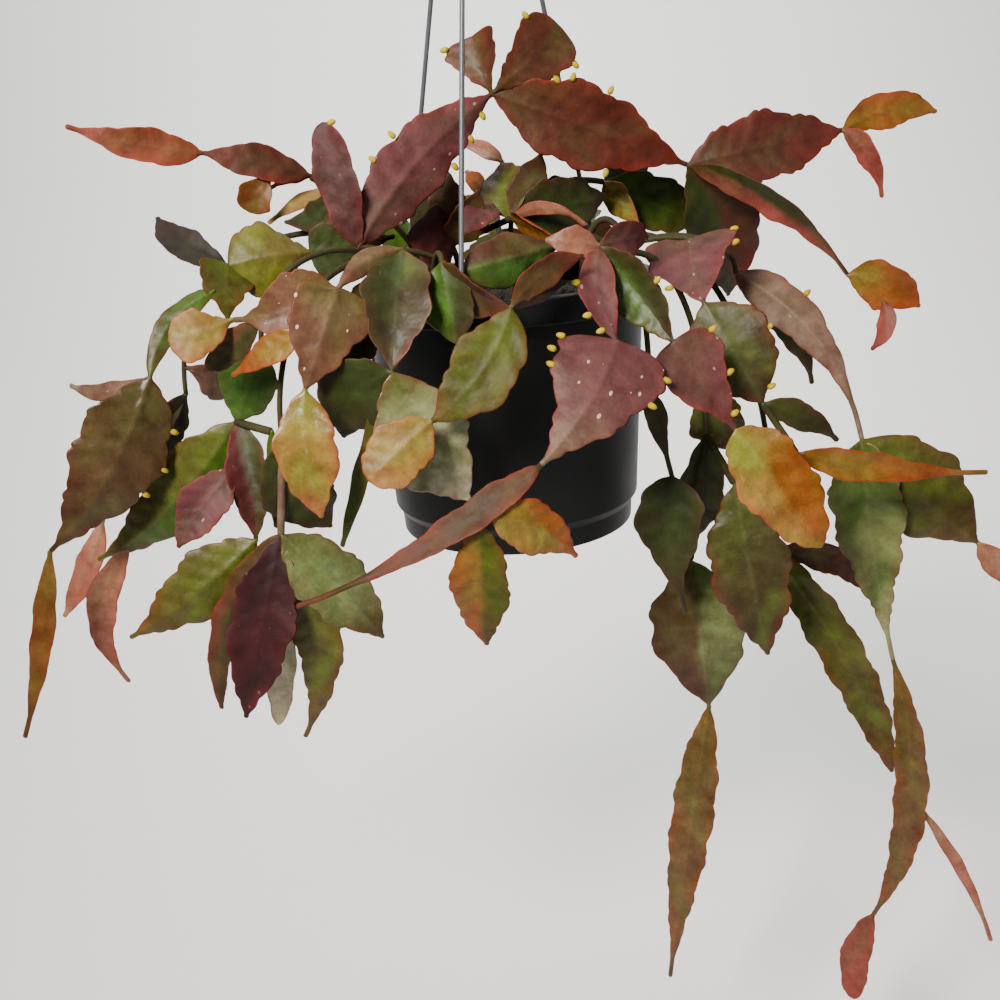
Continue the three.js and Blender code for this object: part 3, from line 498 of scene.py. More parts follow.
# Hook and hub share one dark coat, the same plastic as the wires' but blacker.
hook_coat, shader = new_finish("dark_plastic_coat")
shader.inputs["IOR"].default_value = 1.5
place_of = add_node(hook_coat, "TexCoord").outputs["Object"]
wear = add_node(hook_coat, "TexNoise", {"Vector": place_of, "Scale": 160.0, "Detail": 4.0})
tone = add_node(hook_coat, "MixRGB", {
    "Fac": wear.outputs["Fac"], "Color1": linear("#26292b"), "Color2": linear("#3a3d40")})
feed(hook_coat, tone.outputs["Color"], shader, "Base Color")
polish = add_node(hook_coat, "MapRange", {"Value": wear.outputs["Fac"], "To Min": 0.3, "To Max": 0.5})
feed(hook_coat, polish.outputs["Result"], shader, "Roughness")
for piece in (hub, hook):
    piece.data.materials.append(hook_coat)
    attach(piece, "root")
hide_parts("hanging_hook")


# Cladodes: the plant's flat stem joints, each grown out of the tip or the edge of the one before.
# A joint is a thin blade about a raised midrib, with a narrow neck at both ends, lobed edges whose
# notches take turns left and right, and a waxy skin that turns from green to red in strong light.

# A joint is never narrower than a neck, END_HALF to each side. Its outline has a slow wave with a
# station every STATION_PITCH mm. A lobe is about LOBE long, and the notches between lobes are
# NOTCH deep on joints of BROAD_WIDTH or more. A joint of form stem has a plain oval section, with
# STEM_SHARE of its outline's half width and STEM_OVAL as thick as it is wide.
END_HALF = 1.3 * MM
STATION_PITCH = 12.5
WAVE_DEPTH = 0.07
LOBE = 10 * MM
NOTCH = 1.5 * MM
BROAD_WIDTH = 32 * MM
STEM_SHARE = 0.8
STEM_OVAL = 0.9

# A side joint grows at AREOLE_SHARE of the way to the edge, and sits SINK behind its face.
AREOLE_SHARE = 0.7
SINK = 0.9 * MM

# The blade's half thickness, its midrib, the furrows, and how far its edges wave and cup. The
# furrows, the waves and the cup fade where the half width comes within FADE of a neck's.
BLADE_HALF = 0.6 * MM
RIB_HALF = 0.75 * MM
RIB_SPREAD = 1.9 * MM
VEIN_RISE = 0.16 * MM
RIPPLE = 0.7 * MM
RIPPLE_PITCH = 30 * MM
CUP = 1.6 * MM
FADE = 7 * MM

# The shell has a ring of points every STEP_ALONG, and rounds off at both ends over a cap as long
# as END_HALF, with rings at CAP_STEPS of it. Its base reaches back by BASE_OVERLAP of a cap.
STEP_ALONG = 0.9 * MM
FEWEST_RINGS = 14
MOST_RINGS = 110
CAP_STEPS = np.array([0.03, 0.14, 0.35, 0.65])
BASE_OVERLAP = 0.8

# The skin's pattern starts up to PATTERN_SHIFT mm away on each joint, so that no two match.
PATTERN_SHIFT = 40

# A flower bud is an egg of BUD_LENGTH and BUD_WIDTH. Its wax is a roughness and no scars.
BUD_LENGTH = 4.6 * MM
BUD_WIDTH = 2.8 * MM
BUD_SIDES = 10
BUD_RINGS = 7
BUD_WAX = (0.6, 0)

# Shares of the way out from the midrib to the edge where the shell has points, closer together
# where the blade curves most. ACROSS runs from edge to edge, and SIDE says which side that is.
OUTWARD = np.array([0, 0.05, 0.12, 0.25, 0.42, 0.6, 0.76, 0.88, 0.96, 1])
ACROSS = np.concatenate((-OUTWARD[:0:-1], OUTWARD))
SIDE = np.sign(ACROSS)

# Each form's outline is along^rise * (1 - along)^fall, scaled to a largest value of one.
# The third value cuts off a share of the start, for a blunt base.
FORMS = {
    "leaf": (0.85, 1.05, 0),
    "lance": (0.8, 1.4, 0),
    "taper": (0.7, 2.1, 0),
    "pear": (1.15, 0.6, 0),
    "heart": (0.25, 1.25, 0.012),
    "strap": (0.5, 0.7, 0),
    "oval": (0.6, 0.5, 0),
    "spear": (1.0, 1.4, 0),
    "spade": (0.8, 1.9, 0),
    "shield": (0.25, 0.95, 0.012),
    "fan": (1.3, 0.35, 0),
    "stem": (0.01, 0.01, 0),
}

# Skins as colours of the base, face, tip, midrib and edge, then the roughness of the wax and the
# strength of the pale scars.
SKINS = {
    "maroon": ("#5a432c", "#643229", "#6e3029", "#70403c", "#9c3a36", 0.53, 0),
    "mauve": ("#674a41", "#704249", "#69383f", "#94706a", "#9a4444", 0.57, 0.3),
    "mist": ("#6d4246", "#755050", "#8f806a", "#94706a", "#94484a", 0.48, 0.8),
    # Painted sheen: this skin's face and tip are a silvery cream far paler than the joint's own green,
    # standing for a glossy sheen and making up for the shade the joint hangs in.
    "frost_sheen": ("#6c7240", "#bcc29e", "#eeeada", "#5f8438", "#9a6858", 0.22, 0),
    "dusky": ("#746a42", "#815f4e", "#7d5a49", "#a58677", "#98504a", 0.46, 1),
    "brown": ("#5b5230", "#684236", "#703d31", "#7c5c48", "#903c34", 0.46, 0),
    "tan": ("#7c6656", "#8b7066", "#928274", "#a99484", "#94504a", 0.51, 0.2),
    "bronze": ("#5f5a38", "#604a38", "#4e3028", "#857656", "#74392e", 0.33, 0),
    "copper": ("#645e38", "#71573e", "#754e3c", "#957a52", "#964a36", 0.24, 0),
    "olive": ("#62702c", "#5e5c2c", "#674a30", "#7f8450", "#8a4836", 0.37, 0),
    "green": ("#4a6f28", "#486028", "#565428", "#7c9656", "#7a4c34", 0.35, 0),
    "leafgreen": ("#58803a", "#50743a", "#4f6032", "#9bb878", "#6a523a", 0.23, 0),
    "dark": ("#3b4c1e", "#3d4120", "#453321", "#555a38", "#66382e", 0.50, 0),
    # Painted shade: a near-black green and brown, darker than the joints' own dark green, for joints
    # that hang in deep shade behind the others.
    "shade_black": ("#262a14", "#2a2116", "#321e19", "#383326", "#462628", 0.55, 0),
    "plum": ("#4a2a24", "#54272c", "#592529", "#5c3034", "#843438", 0.54, 0.1),
    "wine": ("#341c20", "#461d23", "#4c2025", "#52282e", "#6c2c32", 0.55, 0.1),
    "moss": ("#6c5834", "#7a8434", "#6f7230", "#98a258", "#8a4e3a", 0.40, 0),
    "tawny": ("#4e3f24", "#5e3924", "#643524", "#7c5838", "#9c3e36", 0.6, 0),
    "bark": ("#55602c", "#4a4328", "#3e3020", "#8a9670", "#8c3c34", 0.45, 0),
    # Partly painted highlight: towards the tip this sage green fades to a pale cream that stands for a
    # silvery highlight on the joint's lower half.
    "sage": ("#4f6f2c", "#87925f", "#bab694", "#b8c0a0", "#8a5a4a", 0.26, 0),
    # Partly painted sheen: a grey-green paler than the joints' own green, standing for a silvery sheen;
    # the low roughness gives a real one as well.
    "silver": ("#6c7f4e", "#858f66", "#574430", "#a4ae88", "#7a4e3c", 0.18, 0),
    # Partly painted light: the joint's own cream, lightened to near white to make up for the shade it
    # hangs in.
    "pale": ("#b4bc8c", "#f0ecd8", "#ece4cc", "#89a050", "#a08068", 0.33, 0),
    "orange": ("#8c7c3c", "#a2683c", "#a8583c", "#ab8052", "#b8463e", 0.33, 0),
    "gold": ("#929c48", "#ae8e54", "#b66c54", "#c4b480", "#c8565a", 0.27, 0.1),
    "peach": ("#98904c", "#a5874c", "#ae7c58", "#b89c70", "#c2605a", 0.47, 0),
    "salmon": ("#84583e", "#985a46", "#9e5246", "#a86c50", "#ba4648", 0.47, 0),
    "rust": ("#70602f", "#7d5530", "#70412a", "#8c6a44", "#964a36", 0.40, 0),
    "red": ("#855a4a", "#985450", "#a0504e", "#b07068", "#c0585c", 0.53, 0),
    "pink": ("#a8806a", "#b27a6e", "#b0665f", "#c99c8e", "#b85458", 0.38, 0),
    "lime": ("#54661a", "#5e6218", "#664822", "#8a944c", "#884a38", 0.5, 0),
    "stalk": ("#34301c", "#424226", "#4c482c", "#62623a", "#5e4430", 0.71, 0),
}


def place(picture_x, picture_y, depth):
    """Point seen at a picture place and lying a depth, in mm, behind the pot's axis: the eye plus
    the ray through that place, lengthened until its Y is the depth."""
    across = (picture_x - PICTURE / 2) / FOCAL
    above = (PICTURE / 2 - picture_y) / FOCAL
    ray = look + across * picture_right + above * picture_up
    return EYE + ray * (depth * MM - EYE[1]) / ray[1]


def unit(vectors):
    """Vectors scaled to a length of one."""
    return vectors / np.linalg.norm(vectors, axis=-1, keepdims=True)


def smooth(value):
    """Zero below 0, one above 1, and 3t^2 - 2t^3 between."""
    value = np.clip(value, 0, 1)
    return value * value * (3 - 2 * value)


def paints(hex_colours):
    """Linear red, green and blue of each hex colour, a row for each."""
    return np.array([linear(colour)[:3] for colour in hex_colours])


def blend(first, second, share):
    """Colours mixed by a share that is given at each point."""
    return first + (second - first) * np.asarray(share)[..., None]


class Cladode:
    """One stem joint. Its midrib runs from base to tip and bows off the straight line. Its own
    axes are the axis along it, a normal that faces the eye and is turned about the axis, and the
    side square to both."""

    def __init__(self, base, tip, width, form, turn, bow, sweep, fold):
        self.base, self.tip, self.width, self.form = base, tip, width * MM, form
        self.bow, self.sweep, self.fold = bow, sweep, math.radians(fold)
        self.span = tip - base
        self.length = np.linalg.norm(self.span)
        self.axis = self.span / self.length
        view = EYE - (base + tip) / 2
        facing = unit(view - self.axis * view.dot(self.axis))
        angle = math.radians(turn)
        self.normal = facing * math.cos(angle) + np.cross(self.axis, facing) * math.sin(angle)
        self.side = np.cross(self.axis, self.normal)
        self.stations = max(4, round(self.length / MM / STATION_PITCH))

    def middle(self, along):
        """Midrib: the straight line, plus length times 4t(1 - t) times the bow and the sweep."""
        along = np.asarray(along)[..., None]
        off = self.length * 4 * along * (1 - along)
        bent = self.normal * off * self.bow + self.side * off * self.sweep
        return self.base + self.span * along + bent

    def axes(self, along):
        """Directions out to the side and off the face, square to the curved midrib."""
        slope = 4 * (1 - 2 * np.asarray(along)[..., None])
        tangent = unit(self.axis + self.normal * slope * self.bow + self.side * slope * self.sweep)
        face = unit(self.normal - tangent * (tangent @ self.normal)[..., None])
        return np.cross(tangent, face), face

    def areole(self, along, towards):
        """Where a new joint grows: the tip, or a place by the edge that is nearer to its own tip,
        sunk so that its neck doesn't come through the front."""
        start = self.middle(along)
        out, face = self.axes(along)
        side = np.sign((towards - start).dot(out))
        away = out * side * math.cos(self.fold) + face * math.sin(self.fold)
        return start + away * AREOLE_SHARE * (self.half(along) - END_HALF) - face * SINK * (along < 1)

    def half(self, along):
        """Half width of the outline before its edge is waved."""
        rise, fall, blunt = FORMS[self.form]
        peak = rise / (rise + fall)
        start = blunt + (1 - blunt) * along
        share = start ** rise * (1 - start) ** fall / (peak ** rise * (1 - peak) ** fall)
        return np.maximum(END_HALF, share * self.width / 2)

    def reach(self, along, side, lobe, phase, notch):
        """Distance from the midrib to one edge: the half width, times a slow wave, plus lobes
        sin(pi p^1.5)^0.7 of the share p of the way from one notch to the next. The notches of
        the two edges take turns, and their spacing swells and shrinks by a tenth."""
        half = self.half(along)
        if self.form == "stem":
            return half * STEM_SHARE
        near_end = np.clip(np.minimum(along, 1 - along) * self.stations, 0, 1)
        wave = 1 + WAVE_DEPTH * side * np.cos(math.pi * along * self.stations) * near_end
        count = along * self.length / lobe
        share = (count + 0.16 * np.sin(2.3 * count + 11 * phase + side) + phase + 0.25 * side) % 1
        depth = notch * np.clip((half - END_HALF) / (4 * MM), 0, 1)
        return half * wave + depth * (np.sin(math.pi * share ** 1.5) ** 0.7 - 0.75)

    def shell(self, skin, random):
        """The joint's closed shell, a grid of shares along and across. A point lies out from the
        midrib by its share of the edge's reach. It rises off the face with the fold, with a cup
        of the share squared, with a long wave at the edge and with furrows that lead to the
        notches, and the two skins lie half a thickness above and below it: (1 - v^p)^0.5 times
        the blade's half, which thins to the edge, plus the midrib's bell curve, which is lower
        towards the tip."""
        # Where its rings lie along the midrib, and how the ends round off.
        cap = END_HALF / self.length
        ends = CAP_STEPS * cap
        steps = int(np.clip(self.length / STEP_ALONG, FEWEST_RINGS, MOST_RINGS))
        first = -BASE_OVERLAP * cap
        between = np.linspace(first + cap, 1 - cap, steps)
        along = np.concatenate((first + ends, between, 1 - ends[::-1]))
        rounding = np.minimum(along - first, 1 - along) / cap
        rounding = np.sqrt(1 - (1 - np.clip(rounding, 0, 1)) ** 2)[:, None]
        inside = np.clip(along, 0, 1)

        # How far out its points lie.
        phase, swing, cup = random.uniform((0, 0.5, -1), (1, 1.5, 1))
        lobe = LOBE * random.uniform(0.75, 1.25) * min(1, 0.4 + self.length / (100 * MM))
        notch = NOTCH * random.uniform(0.6, 1) * min(1, (self.width / BROAD_WIDTH) ** 1.4)
        edges = [self.reach(inside, side, lobe, phase, notch) for side in (-1, 1)]
        share = np.abs(ACROSS)
        reach = np.where(ACROSS < 0, edges[0][:, None], edges[1][:, None]) * rounding
        off = reach * share
        run = (inside * self.length)[:, None]
        half = self.half(inside)[:, None]

        # How far they rise off the face.
        broad = np.clip((half - END_HALF) / FADE, 0, 1)
        vein = -np.cos(2 * math.pi * ((run - 0.6 * off) / lobe + phase + 0.25 * SIDE))
        ripple = np.sin(2 * math.pi * run / (RIPPLE_PITCH * swing) + 9 * phase + 2 * (ACROSS < 0))
        lift = off * share ** 0.3 * math.sin(self.fold)
        lift += broad * (CUP * cup * share ** 2 + RIPPLE * swing * ripple * share ** 1.5)
        lift += VEIN_RISE * broad * vein * 4 * share * (1 - share)
        out, face = self.axes(along)
        sideways = SIDE * off * math.cos(self.fold)
        sheet = (self.middle(along)[:, None] + out[:, None] * sideways[..., None]
                 + face[:, None] * lift[..., None])

        # How thick the blade is, and its upper and lower skin.
        normal = unit(np.cross(np.gradient(sheet, axis=1), np.gradient(sheet, axis=0)))
        rib_height = RIB_HALF * ((1 - inside[:, None]) ** 0.7 * 0.75 + 0.25)
        rib = rib_height * np.exp(-(off / RIB_SPREAD) ** 2)
        if self.form == "stem":
            power, body = 2, reach * STEM_OVAL
        else:
            power = 2 + 6 * smooth((half - END_HALF) / (5 * MM))
            body = (BLADE_HALF * (1 - 0.45 * share ** 2) + rib) * rounding
        thick = (body * np.sqrt(1 - share ** power))[..., None]
        upper, lower = sheet + normal * thick, sheet - normal * thick
        ring = np.concatenate((upper, lower[:, -2:0:-1]), axis=1)
        vertices = np.concatenate((ring.reshape(-1, 3), self.middle(np.array([first, 1.0]))))

        # What its skin looks like at each point.
        paint, wax = self.paint(skin, inside[:, None], off, reach, vein, phase, random)
        shift = PATTERN_SHIFT * phase
        place_on = np.stack(np.broadcast_arrays(SIDE * off / MM, run / MM, shift), axis=-1)
        order = np.concatenate((np.arange(len(ACROSS)), np.arange(len(ACROSS) - 2, 0, -1)))
        sheets = [np.concatenate((grid[:, order].reshape(-1, grid.shape[-1]), grid[[0, -1], 0]))
                  for grid in (paint, wax, place_on)]
        return vertices, closed_faces(*ring.shape[:2]), *sheets

    def paint(self, skin, along, off, reach, vein, phase, random):
        """Skin colour, and its roughness and scars. The base's colour blends into the face's and
        then the tip's along the joint, and comes back in swirls and by the midrib. The midrib
        has its own line, and the edge a wide flush and a thin rim. A skin named with two words
        is split at the midrib."""
        names = skin.split()
        run = along * self.length
        wander = 2 * np.sin(SIDE * off / (7 * MM) + 5 * phase)
        swirl = np.sin(run / (9 * MM) + 9 * phase + wander) - 0.1
        patchy = 0.6 + 0.4 * np.sin(run / (11 * MM) + 4 * phase + SIDE)
        flush = patchy * smooth((off - reach + 7 * MM) / (8 * MM))
        rim = smooth((off - reach + 0.9 * MM) / (0.7 * MM))
        by_midrib = 0.1 * np.exp(-(off / (4 * MM)) ** 2)
        on_midrib = 0.16 * (1 - 0.6 * along) * np.exp(-(off / (1.1 * MM)) ** 2)
        sides = []
        for name in (names[0], names[-1]):
            base, middle, tip, rib, edge = paints(SKINS[name][:5])
            colour = blend(base, middle, smooth(along / 0.45) + 0 * off)
            colour = blend(colour, tip, 0.85 * smooth((along - 0.5) / 0.5) + 0 * off)
            colour = blend(colour, base, 0.65 * smooth(swirl) + by_midrib)
            # Painted shade and light: the colour is up to 7% darker in the furrows between the side
            # veins and lighter on the ridges, following the relief.
            colour = colour * (1 + 0.07 * vein * smooth(off / (3 * MM)))[..., None]
            colour = blend(colour, rib, on_midrib)
            colour = blend(colour, edge, (0.38 * flush + 0.5 * rim) * (reach > 2 * MM))
            sides.append(colour)
        wax = np.where((ACROSS < 0)[:, None], SKINS[names[0]][5:], SKINS[names[-1]][5:])
        wax = wax + (random.uniform(-0.03, 0.05), 0) + 0 * off[..., None]
        second = smooth(0.5 + (SIDE * off + 1.5 * MM * swirl) / (6 * MM))
        return blend(*sides, second) * (1 + random.uniform(-0.12, 0.1)), wax

    def bud(self, along, side):
        """Vertices, faces and colours of a flower bud on the edge: an egg that is thicker at its
        foot, with rings of (1 - h^2)^0.5 times half its width at heights h from -1 to 1. It is
        green where it is fixed and ripens to yellow."""
        out, face = self.axes(along)
        away = out * side * math.cos(self.fold) + face * math.sin(self.fold)
        centre = self.middle(along) + away * (self.half(along) + 0.22 * BUD_LENGTH)
        first = unit(np.cross(away, (0.3, 0.2, 0.93)))
        second = np.cross(away, first)
        height = np.linspace(-1, 1, BUD_RINGS + 2)[1:-1, None]
        angle = round_angles(BUD_SIDES)
        girth = np.sqrt(1 - height ** 2) * (1 - 0.18 * height) * BUD_WIDTH / 2
        around_first = (girth * np.cos(angle))[..., None] * first
        around_second = (girth * np.sin(angle))[..., None] * second
        egg = centre + height[..., None] * away * BUD_LENGTH / 2 + around_first + around_second
        ends = centre + away * BUD_LENGTH / 2 * np.array([[-1], [1]])
        ripe = smooth((np.append(np.repeat(height, BUD_SIDES), [-1, 1]) + 1.1) / 0.9)
        colour = blend(*paints(("#98a028", "#f4d400")), ripe)
        return np.concatenate((egg.reshape(-1, 3), ends)), closed_faces(BUD_RINGS, BUD_SIDES), colour


# Waxy cactus skin: a thin smooth cuticle over living tissue, so colour comes from the joint's
# tint: its own colours, with painted shade and light on some skins and in the furrows.
# blade_place holds millimetres out from the midrib and along it, so a scale of 1 / 11 gives
# faint blotches of pigment 11 mm wide, and the puckers are 9 mm wide. Grain and cells are drawn
# 1.5 and 1.8 mm wide, far coarser than the real ones, which are too fine to show. Pale scars sit
# in cells of 4 by 6 mm, on the joints that have them.
skin_wax, shader = new_finish("waxy_cactus_skin")
shader.inputs["IOR"].default_value = 1.47
shader.inputs["Specular IOR Level"].default_value = 0.24
tint = add_node(skin_wax, "Attribute", attribute_name="tint")
wax = add_node(skin_wax, "Attribute", attribute_name="wax")
wax_parts = add_node(skin_wax, "SeparateXYZ", {"Vector": wax.outputs["Vector"]})
wax_roughness, scar_strength = wax_parts.outputs["X"], wax_parts.outputs["Y"]
on_blade = add_node(skin_wax, "Attribute", attribute_name="blade_place").outputs["Vector"]
blotch = add_node(skin_wax, "TexNoise", {
    "Vector": on_blade, "Scale": 1 / 11, "Detail": 3.0, "Roughness": 0.55})
blotch_tone = add_node(skin_wax, "ValToRGB", {"Fac": blotch.outputs["Fac"]})
ramp = blotch_tone.color_ramp
ramp.elements[0].position, ramp.elements[0].color = 0.25, linear("#a28e84")
ramp.elements[1].position, ramp.elements[1].color = 0.75, linear("#e2e4d4")
pigment = add_node(skin_wax, "MixRGB", {
    "Fac": 1.0, "Color1": tint.outputs["Color"], "Color2": blotch_tone.outputs["Color"],
}, blend_type="MULTIPLY")
warp = add_node(skin_wax, "MixRGB", {
    "Fac": 1.0, "Color1": on_blade, "Color2": blotch.outputs["Color"]}, blend_type="ADD")
stretched = add_node(skin_wax, "Mapping", {
    "Vector": warp.outputs["Color"], "Rotation": (0, 0, 0.5), "Scale": (1 / 4, 1 / 6, 1 / 4)})
scars = add_node(skin_wax, "TexVoronoi", {"Vector": stretched.outputs["Vector"], "Scale": 1.0})
scar_cell = add_node(skin_wax, "SeparateXYZ", {"Vector": scars.outputs["Color"]})
scar_size = add_node(skin_wax, "MapRange", {
    "Value": scar_cell.outputs["X"], "From Min": 0.4, "From Max": 1.0, "To Min": 0.0, "To Max": 0.2})
scar_depth = add_node(skin_wax, "Math", {
    0: scar_size.outputs["Result"], 1: scars.outputs["Distance"]}, operation="SUBTRACT")
scar_dot = add_node(skin_wax, "MapRange", {
    "Value": scar_depth.outputs["Value"], "From Max": 0.03, "To Max": 0.75})
scar_share = add_node(skin_wax, "Math", {
    0: scar_dot.outputs["Result"], 1: scar_strength}, operation="MULTIPLY")
grain = add_node(skin_wax, "TexNoise", {
    "Vector": on_blade, "Scale": 1 / 1.5, "Detail": 4.0, "Roughness": 0.7})
grain_value = add_node(skin_wax, "MapRange", {
    "Value": grain.outputs["Fac"], "From Min": 0.3, "From Max": 0.7, "To Min": 0.72, "To Max": 1.02})
grained = add_node(skin_wax, "HueSaturation", {
    "Saturation": 1.06, "Value": grain_value.outputs["Result"], "Color": pigment.outputs["Color"]})
scarred = add_node(skin_wax, "MixRGB", {
    "Fac": scar_share.outputs["Value"], "Color1": grained.outputs["Color"], "Color2": linear("#d2c4b4")})
feed(skin_wax, scarred.outputs["Color"], shader, "Base Color")
dulling = add_node(skin_wax, "MapRange", {
    "Value": blotch.outputs["Fac"], "To Min": -0.08, "To Max": 0.1})
roughness = add_node(skin_wax, "Math", {
    0: wax_roughness, 1: dulling.outputs["Result"]}, operation="ADD")
feed(skin_wax, roughness.outputs["Value"], shader, "Roughness")
cells = add_node(skin_wax, "TexNoise", {"Vector": on_blade, "Scale": 1 / 1.8, "Detail": 4.0})
fine = add_node(skin_wax, "Bump", {
    "Strength": 0.4, "Distance": 0.25 * MM, "Height": cells.outputs["Fac"]})
pucker = add_node(skin_wax, "TexNoise", {"Vector": on_blade, "Scale": 1 / 9, "Detail": 2.0})
coarse = add_node(skin_wax, "Bump", {
    "Strength": 0.5, "Distance": 1.4 * MM, "Height": pucker.outputs["Fac"],
    "Normal": fine.outputs["Normal"]})
feed(skin_wax, coarse.outputs["Normal"], shader, "Normal")

# A stalk stands STALK_DEPTH in the soil, rises upright for STALK_RISE and then arches. In the
# skin's pattern each of its sides is STALK_FACET mm wide.
STALK_DEPTH = 16 * MM
STALK_RISE = 7 * MM
STALK_RADIUS = 1.8 * MM
STALK_TAPER = 0.3
STALK_SIDES = 10
STALK_FACET = 1.2


class Stalk:
    """A round stem: upright out of the soil, then a cubic curve whose two handles stand at the
    peak's height over its ends, to where its first joint starts."""

    def __init__(self, root, end, peak):
        low = np.array((root[0] * MM, root[1] * MM, POT_LOW + SOIL_TOP - STALK_DEPTH))
        high = low + (0, 0, STALK_DEPTH + STALK_RISE)
        top = POT_LOW + peak * MM
        first = np.array((*high[:2], top))
        second = np.array((*end[:2], max(top, end[2])))
        arch = cubic((high, first, second, end), steps=90)
        self.path = np.concatenate((np.linspace(low, high, num=12)[:-1], arch))
        step = np.linalg.norm(np.diff(self.path, axis=0), axis=1)
        self.run = np.concatenate(([0], np.cumsum(step)))

    def middle(self, share):
        """Point at a share of the stalk's length."""
        run = share * self.run[-1]
        return np.array([np.interp(run, self.run, self.path[:, i]) for i in range(3)])

    def areole(self, share, towards):
        """Where a new joint grows: on the stalk's middle, whichever way the joint goes."""
        return self.middle(share)

    def shell(self, skin, random):
        """The stalk's rod, a little thinner towards its end, with its paint."""
        across = np.cross((0, 0, 1), self.path[-1] - self.path[0])
        share = self.run / self.run[-1]
        radius = STALK_RADIUS * (1 - STALK_TAPER * share)
        vertices, faces = swept(self.path, radius, across, STALK_SIDES)
        base, _, tip = paints(SKINS[skin][:3])
        paint = blend(base, tip, np.append(np.repeat(share, STALK_SIDES), [0, 1]))
        run = np.append(np.repeat(self.run, STALK_SIDES), [0, self.run[-1]]) / MM
        turn = np.append(np.tile(np.arange(STALK_SIDES), len(share)), [0, 0]) * STALK_FACET
        shift = np.full(len(run), PATTERN_SHIFT * random.uniform())
        wax = np.tile(SKINS[skin][5:], (len(run), 1))
        return vertices, faces, paint, wax, np.stack((turn, run, shift), axis=1)


def put_attribute(mesh, name, kind, field, values):
    """Stores an array of one value for each vertex."""
    attribute = mesh.attributes.new(name, kind, "POINT")
    attribute.data.foreach_set(field, np.ascontiguousarray(values, np.float32).ravel())


def new_stem(node, shells):
    """One mesh from a stem's shells, which stands for its CAD node. A shell is its vertices,
    faces, paint, wax and places on the blade."""
    points, shell_faces, paints_on, waxes, places = zip(*shells)
    start = np.cumsum([0] + [len(group) for group in points]).tolist()
    faces = []
    for first, group in zip(start, shell_faces):
        faces += [[corner + first for corner in face] for face in group]
    piece = new_piece(f"leafy_{node}", np.concatenate(points), faces, weld=False)
    tint = np.concatenate(paints_on)
    opaque = np.column_stack((tint, np.ones(len(tint))))
    put_attribute(piece.data, "tint", "FLOAT_COLOR", "color", opaque)
    put_attribute(piece.data, "wax", "FLOAT2", "vector", np.concatenate(waxes))
    put_attribute(piece.data, "blade_place", "FLOAT_VECTOR", "vector", np.concatenate(places))
    piece.data.materials.append(skin_wax)
    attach(piece, "root")
    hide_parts(node)


def leafy_stem(node, stalks, joints, buds=()):
    """Grows a stem from its rows. A stalk is (name, root on the soil, place of its end, peak). A
    joint is (name, parent, place of its tip, skin, width, form, turn, bow, sweep, fold), and it
    starts at its parent's tip, or at the share of the parent that is written after a colon. A
    bud is (joint, share along it, side)."""
    random = np.random.default_rng(sum(map(ord, node)))
    grown, shells = {}, []
    for name, root, end, peak in stalks:
        grown[name] = Stalk(root, place(*end), peak)
        shells.append(grown[name].shell("stalk", random))
    for name, parent, tip, skin, *shape in joints:
        parent_name, _, share = parent.partition(":")
        base = grown[parent_name].areole(float(share or 1), place(*tip))
        grown[name] = Cladode(base, place(*tip), *shape)
        shells.append(grown[name].shell(skin, random))
    for name, along, side in buds:
        vertices, faces, paint = grown[name].bud(along, side)
        wax = np.tile(BUD_WAX, (len(vertices), 1))
        shells.append((vertices, faces, paint, wax, (vertices - vertices[0]) / MM))
    new_stem(node, shells)


# Crown arch: the tall stem that climbs behind the left wire and arches over to the right.
leafy_stem(
    "stem_crown_arch",
    [("a0", (-28, -24), (358, 247, -40), 144)],
    [
        ("a1", "a0", (322, 122, -30), "plum", 20, "oval", -14, 0.04, 0, 12),
        ("a2", "a0", (492, 94, -8), "mauve", 31, "leaf", 8, 0.03, -0.06, -6),
        ("a3", "a2", (472, 36, 0), "brown", 29, "fan", -20, 0.06, 0, 22),
        ("a4", "a2", (562, 28, -14), "brown", 31, "fan", 12, 0.05, 0, 8),
        ("a5", "a2", (688, 165, 4), "maroon", 39, "spear", 6, 0.05, -0.01, 8),
        ("a6", "a5", (843, 130, 12), "maroon", 34, "leaf", -8, 0.04, 0, 8),
        ("a7", "a6", (937, 112, 4), "orange", 19, "leaf", 20, 0.05, -0.16, 10),
        ("a8", "a6", (882, 198, -4), "red", 13, "lance", 30, 0, -0.14, 10),
        ("a9", "a5", (848, 275, -10), "dark red", 17, "lance", 40, 0.02, -0.13, 18),
        ("a10", "a9", (920, 307, -20), "orange", 25, "leaf", 15, 0.05, -0.09, 14),
        ("a11", "a10:0.55", (871, 350, -22), "red", 10, "leaf", 25, 0, -0.2, 8),
        ("a12", "a5", (728, 296, 42), "maroon dark", 40, "leaf", -18, 0.05, -0.07, 10),
    ],
    [("a1", 0.97, 1), ("a2", 0.5, -1), ("a2", 0.62, 1), ("a2", 0.78, 1), ("a2", 0.9, 1),
     ("a2", 0.36, -1), ("a3", 0.9, -1), ("a4", 0.62, 1), ("a4", 0.86, 1), ("a4", 0.8, -1),
     ("a5", 0.32, -1), ("a5", 0.5, -1), ("a5", 0.62, 1)])

# Left arm: a thin stem that reaches out level to the upper left, orange at its young end.
leafy_stem(
    "stem_left_arm",
    [("b0", (-40, 22), (335, 190, 20), 155)],
    [
        ("b1", "b0", (310, 176, 15), "stalk", 5, "stem", 0, 0, 0, 0),
        ("b2", "b1", (202, 153, 2), "maroon", 18, "leaf", 18, 0.06, 0, 8),
        ("b3", "b2", (65, 126, -14), "salmon", 17, "lance", 10, 0.03, -0.04, 8),
        ("b4", "b1", (270, 189, 20), "orange", 8, "lance", 30, 0, 0.1, 8),
        ("b5", "b2:0.36", (250, 213, 4), "rust", 18, "pear", 10, 0.08, 0.05, 14),
        ("b6", "b0", (268, 224, 8), "peach", 9, "lance", 30, 0, 0.07, 8),
        ("b7", "b0", (284, 222, 2), "dark", 17, "leaf", 20, 0, -0.22, 12),
    ]
)

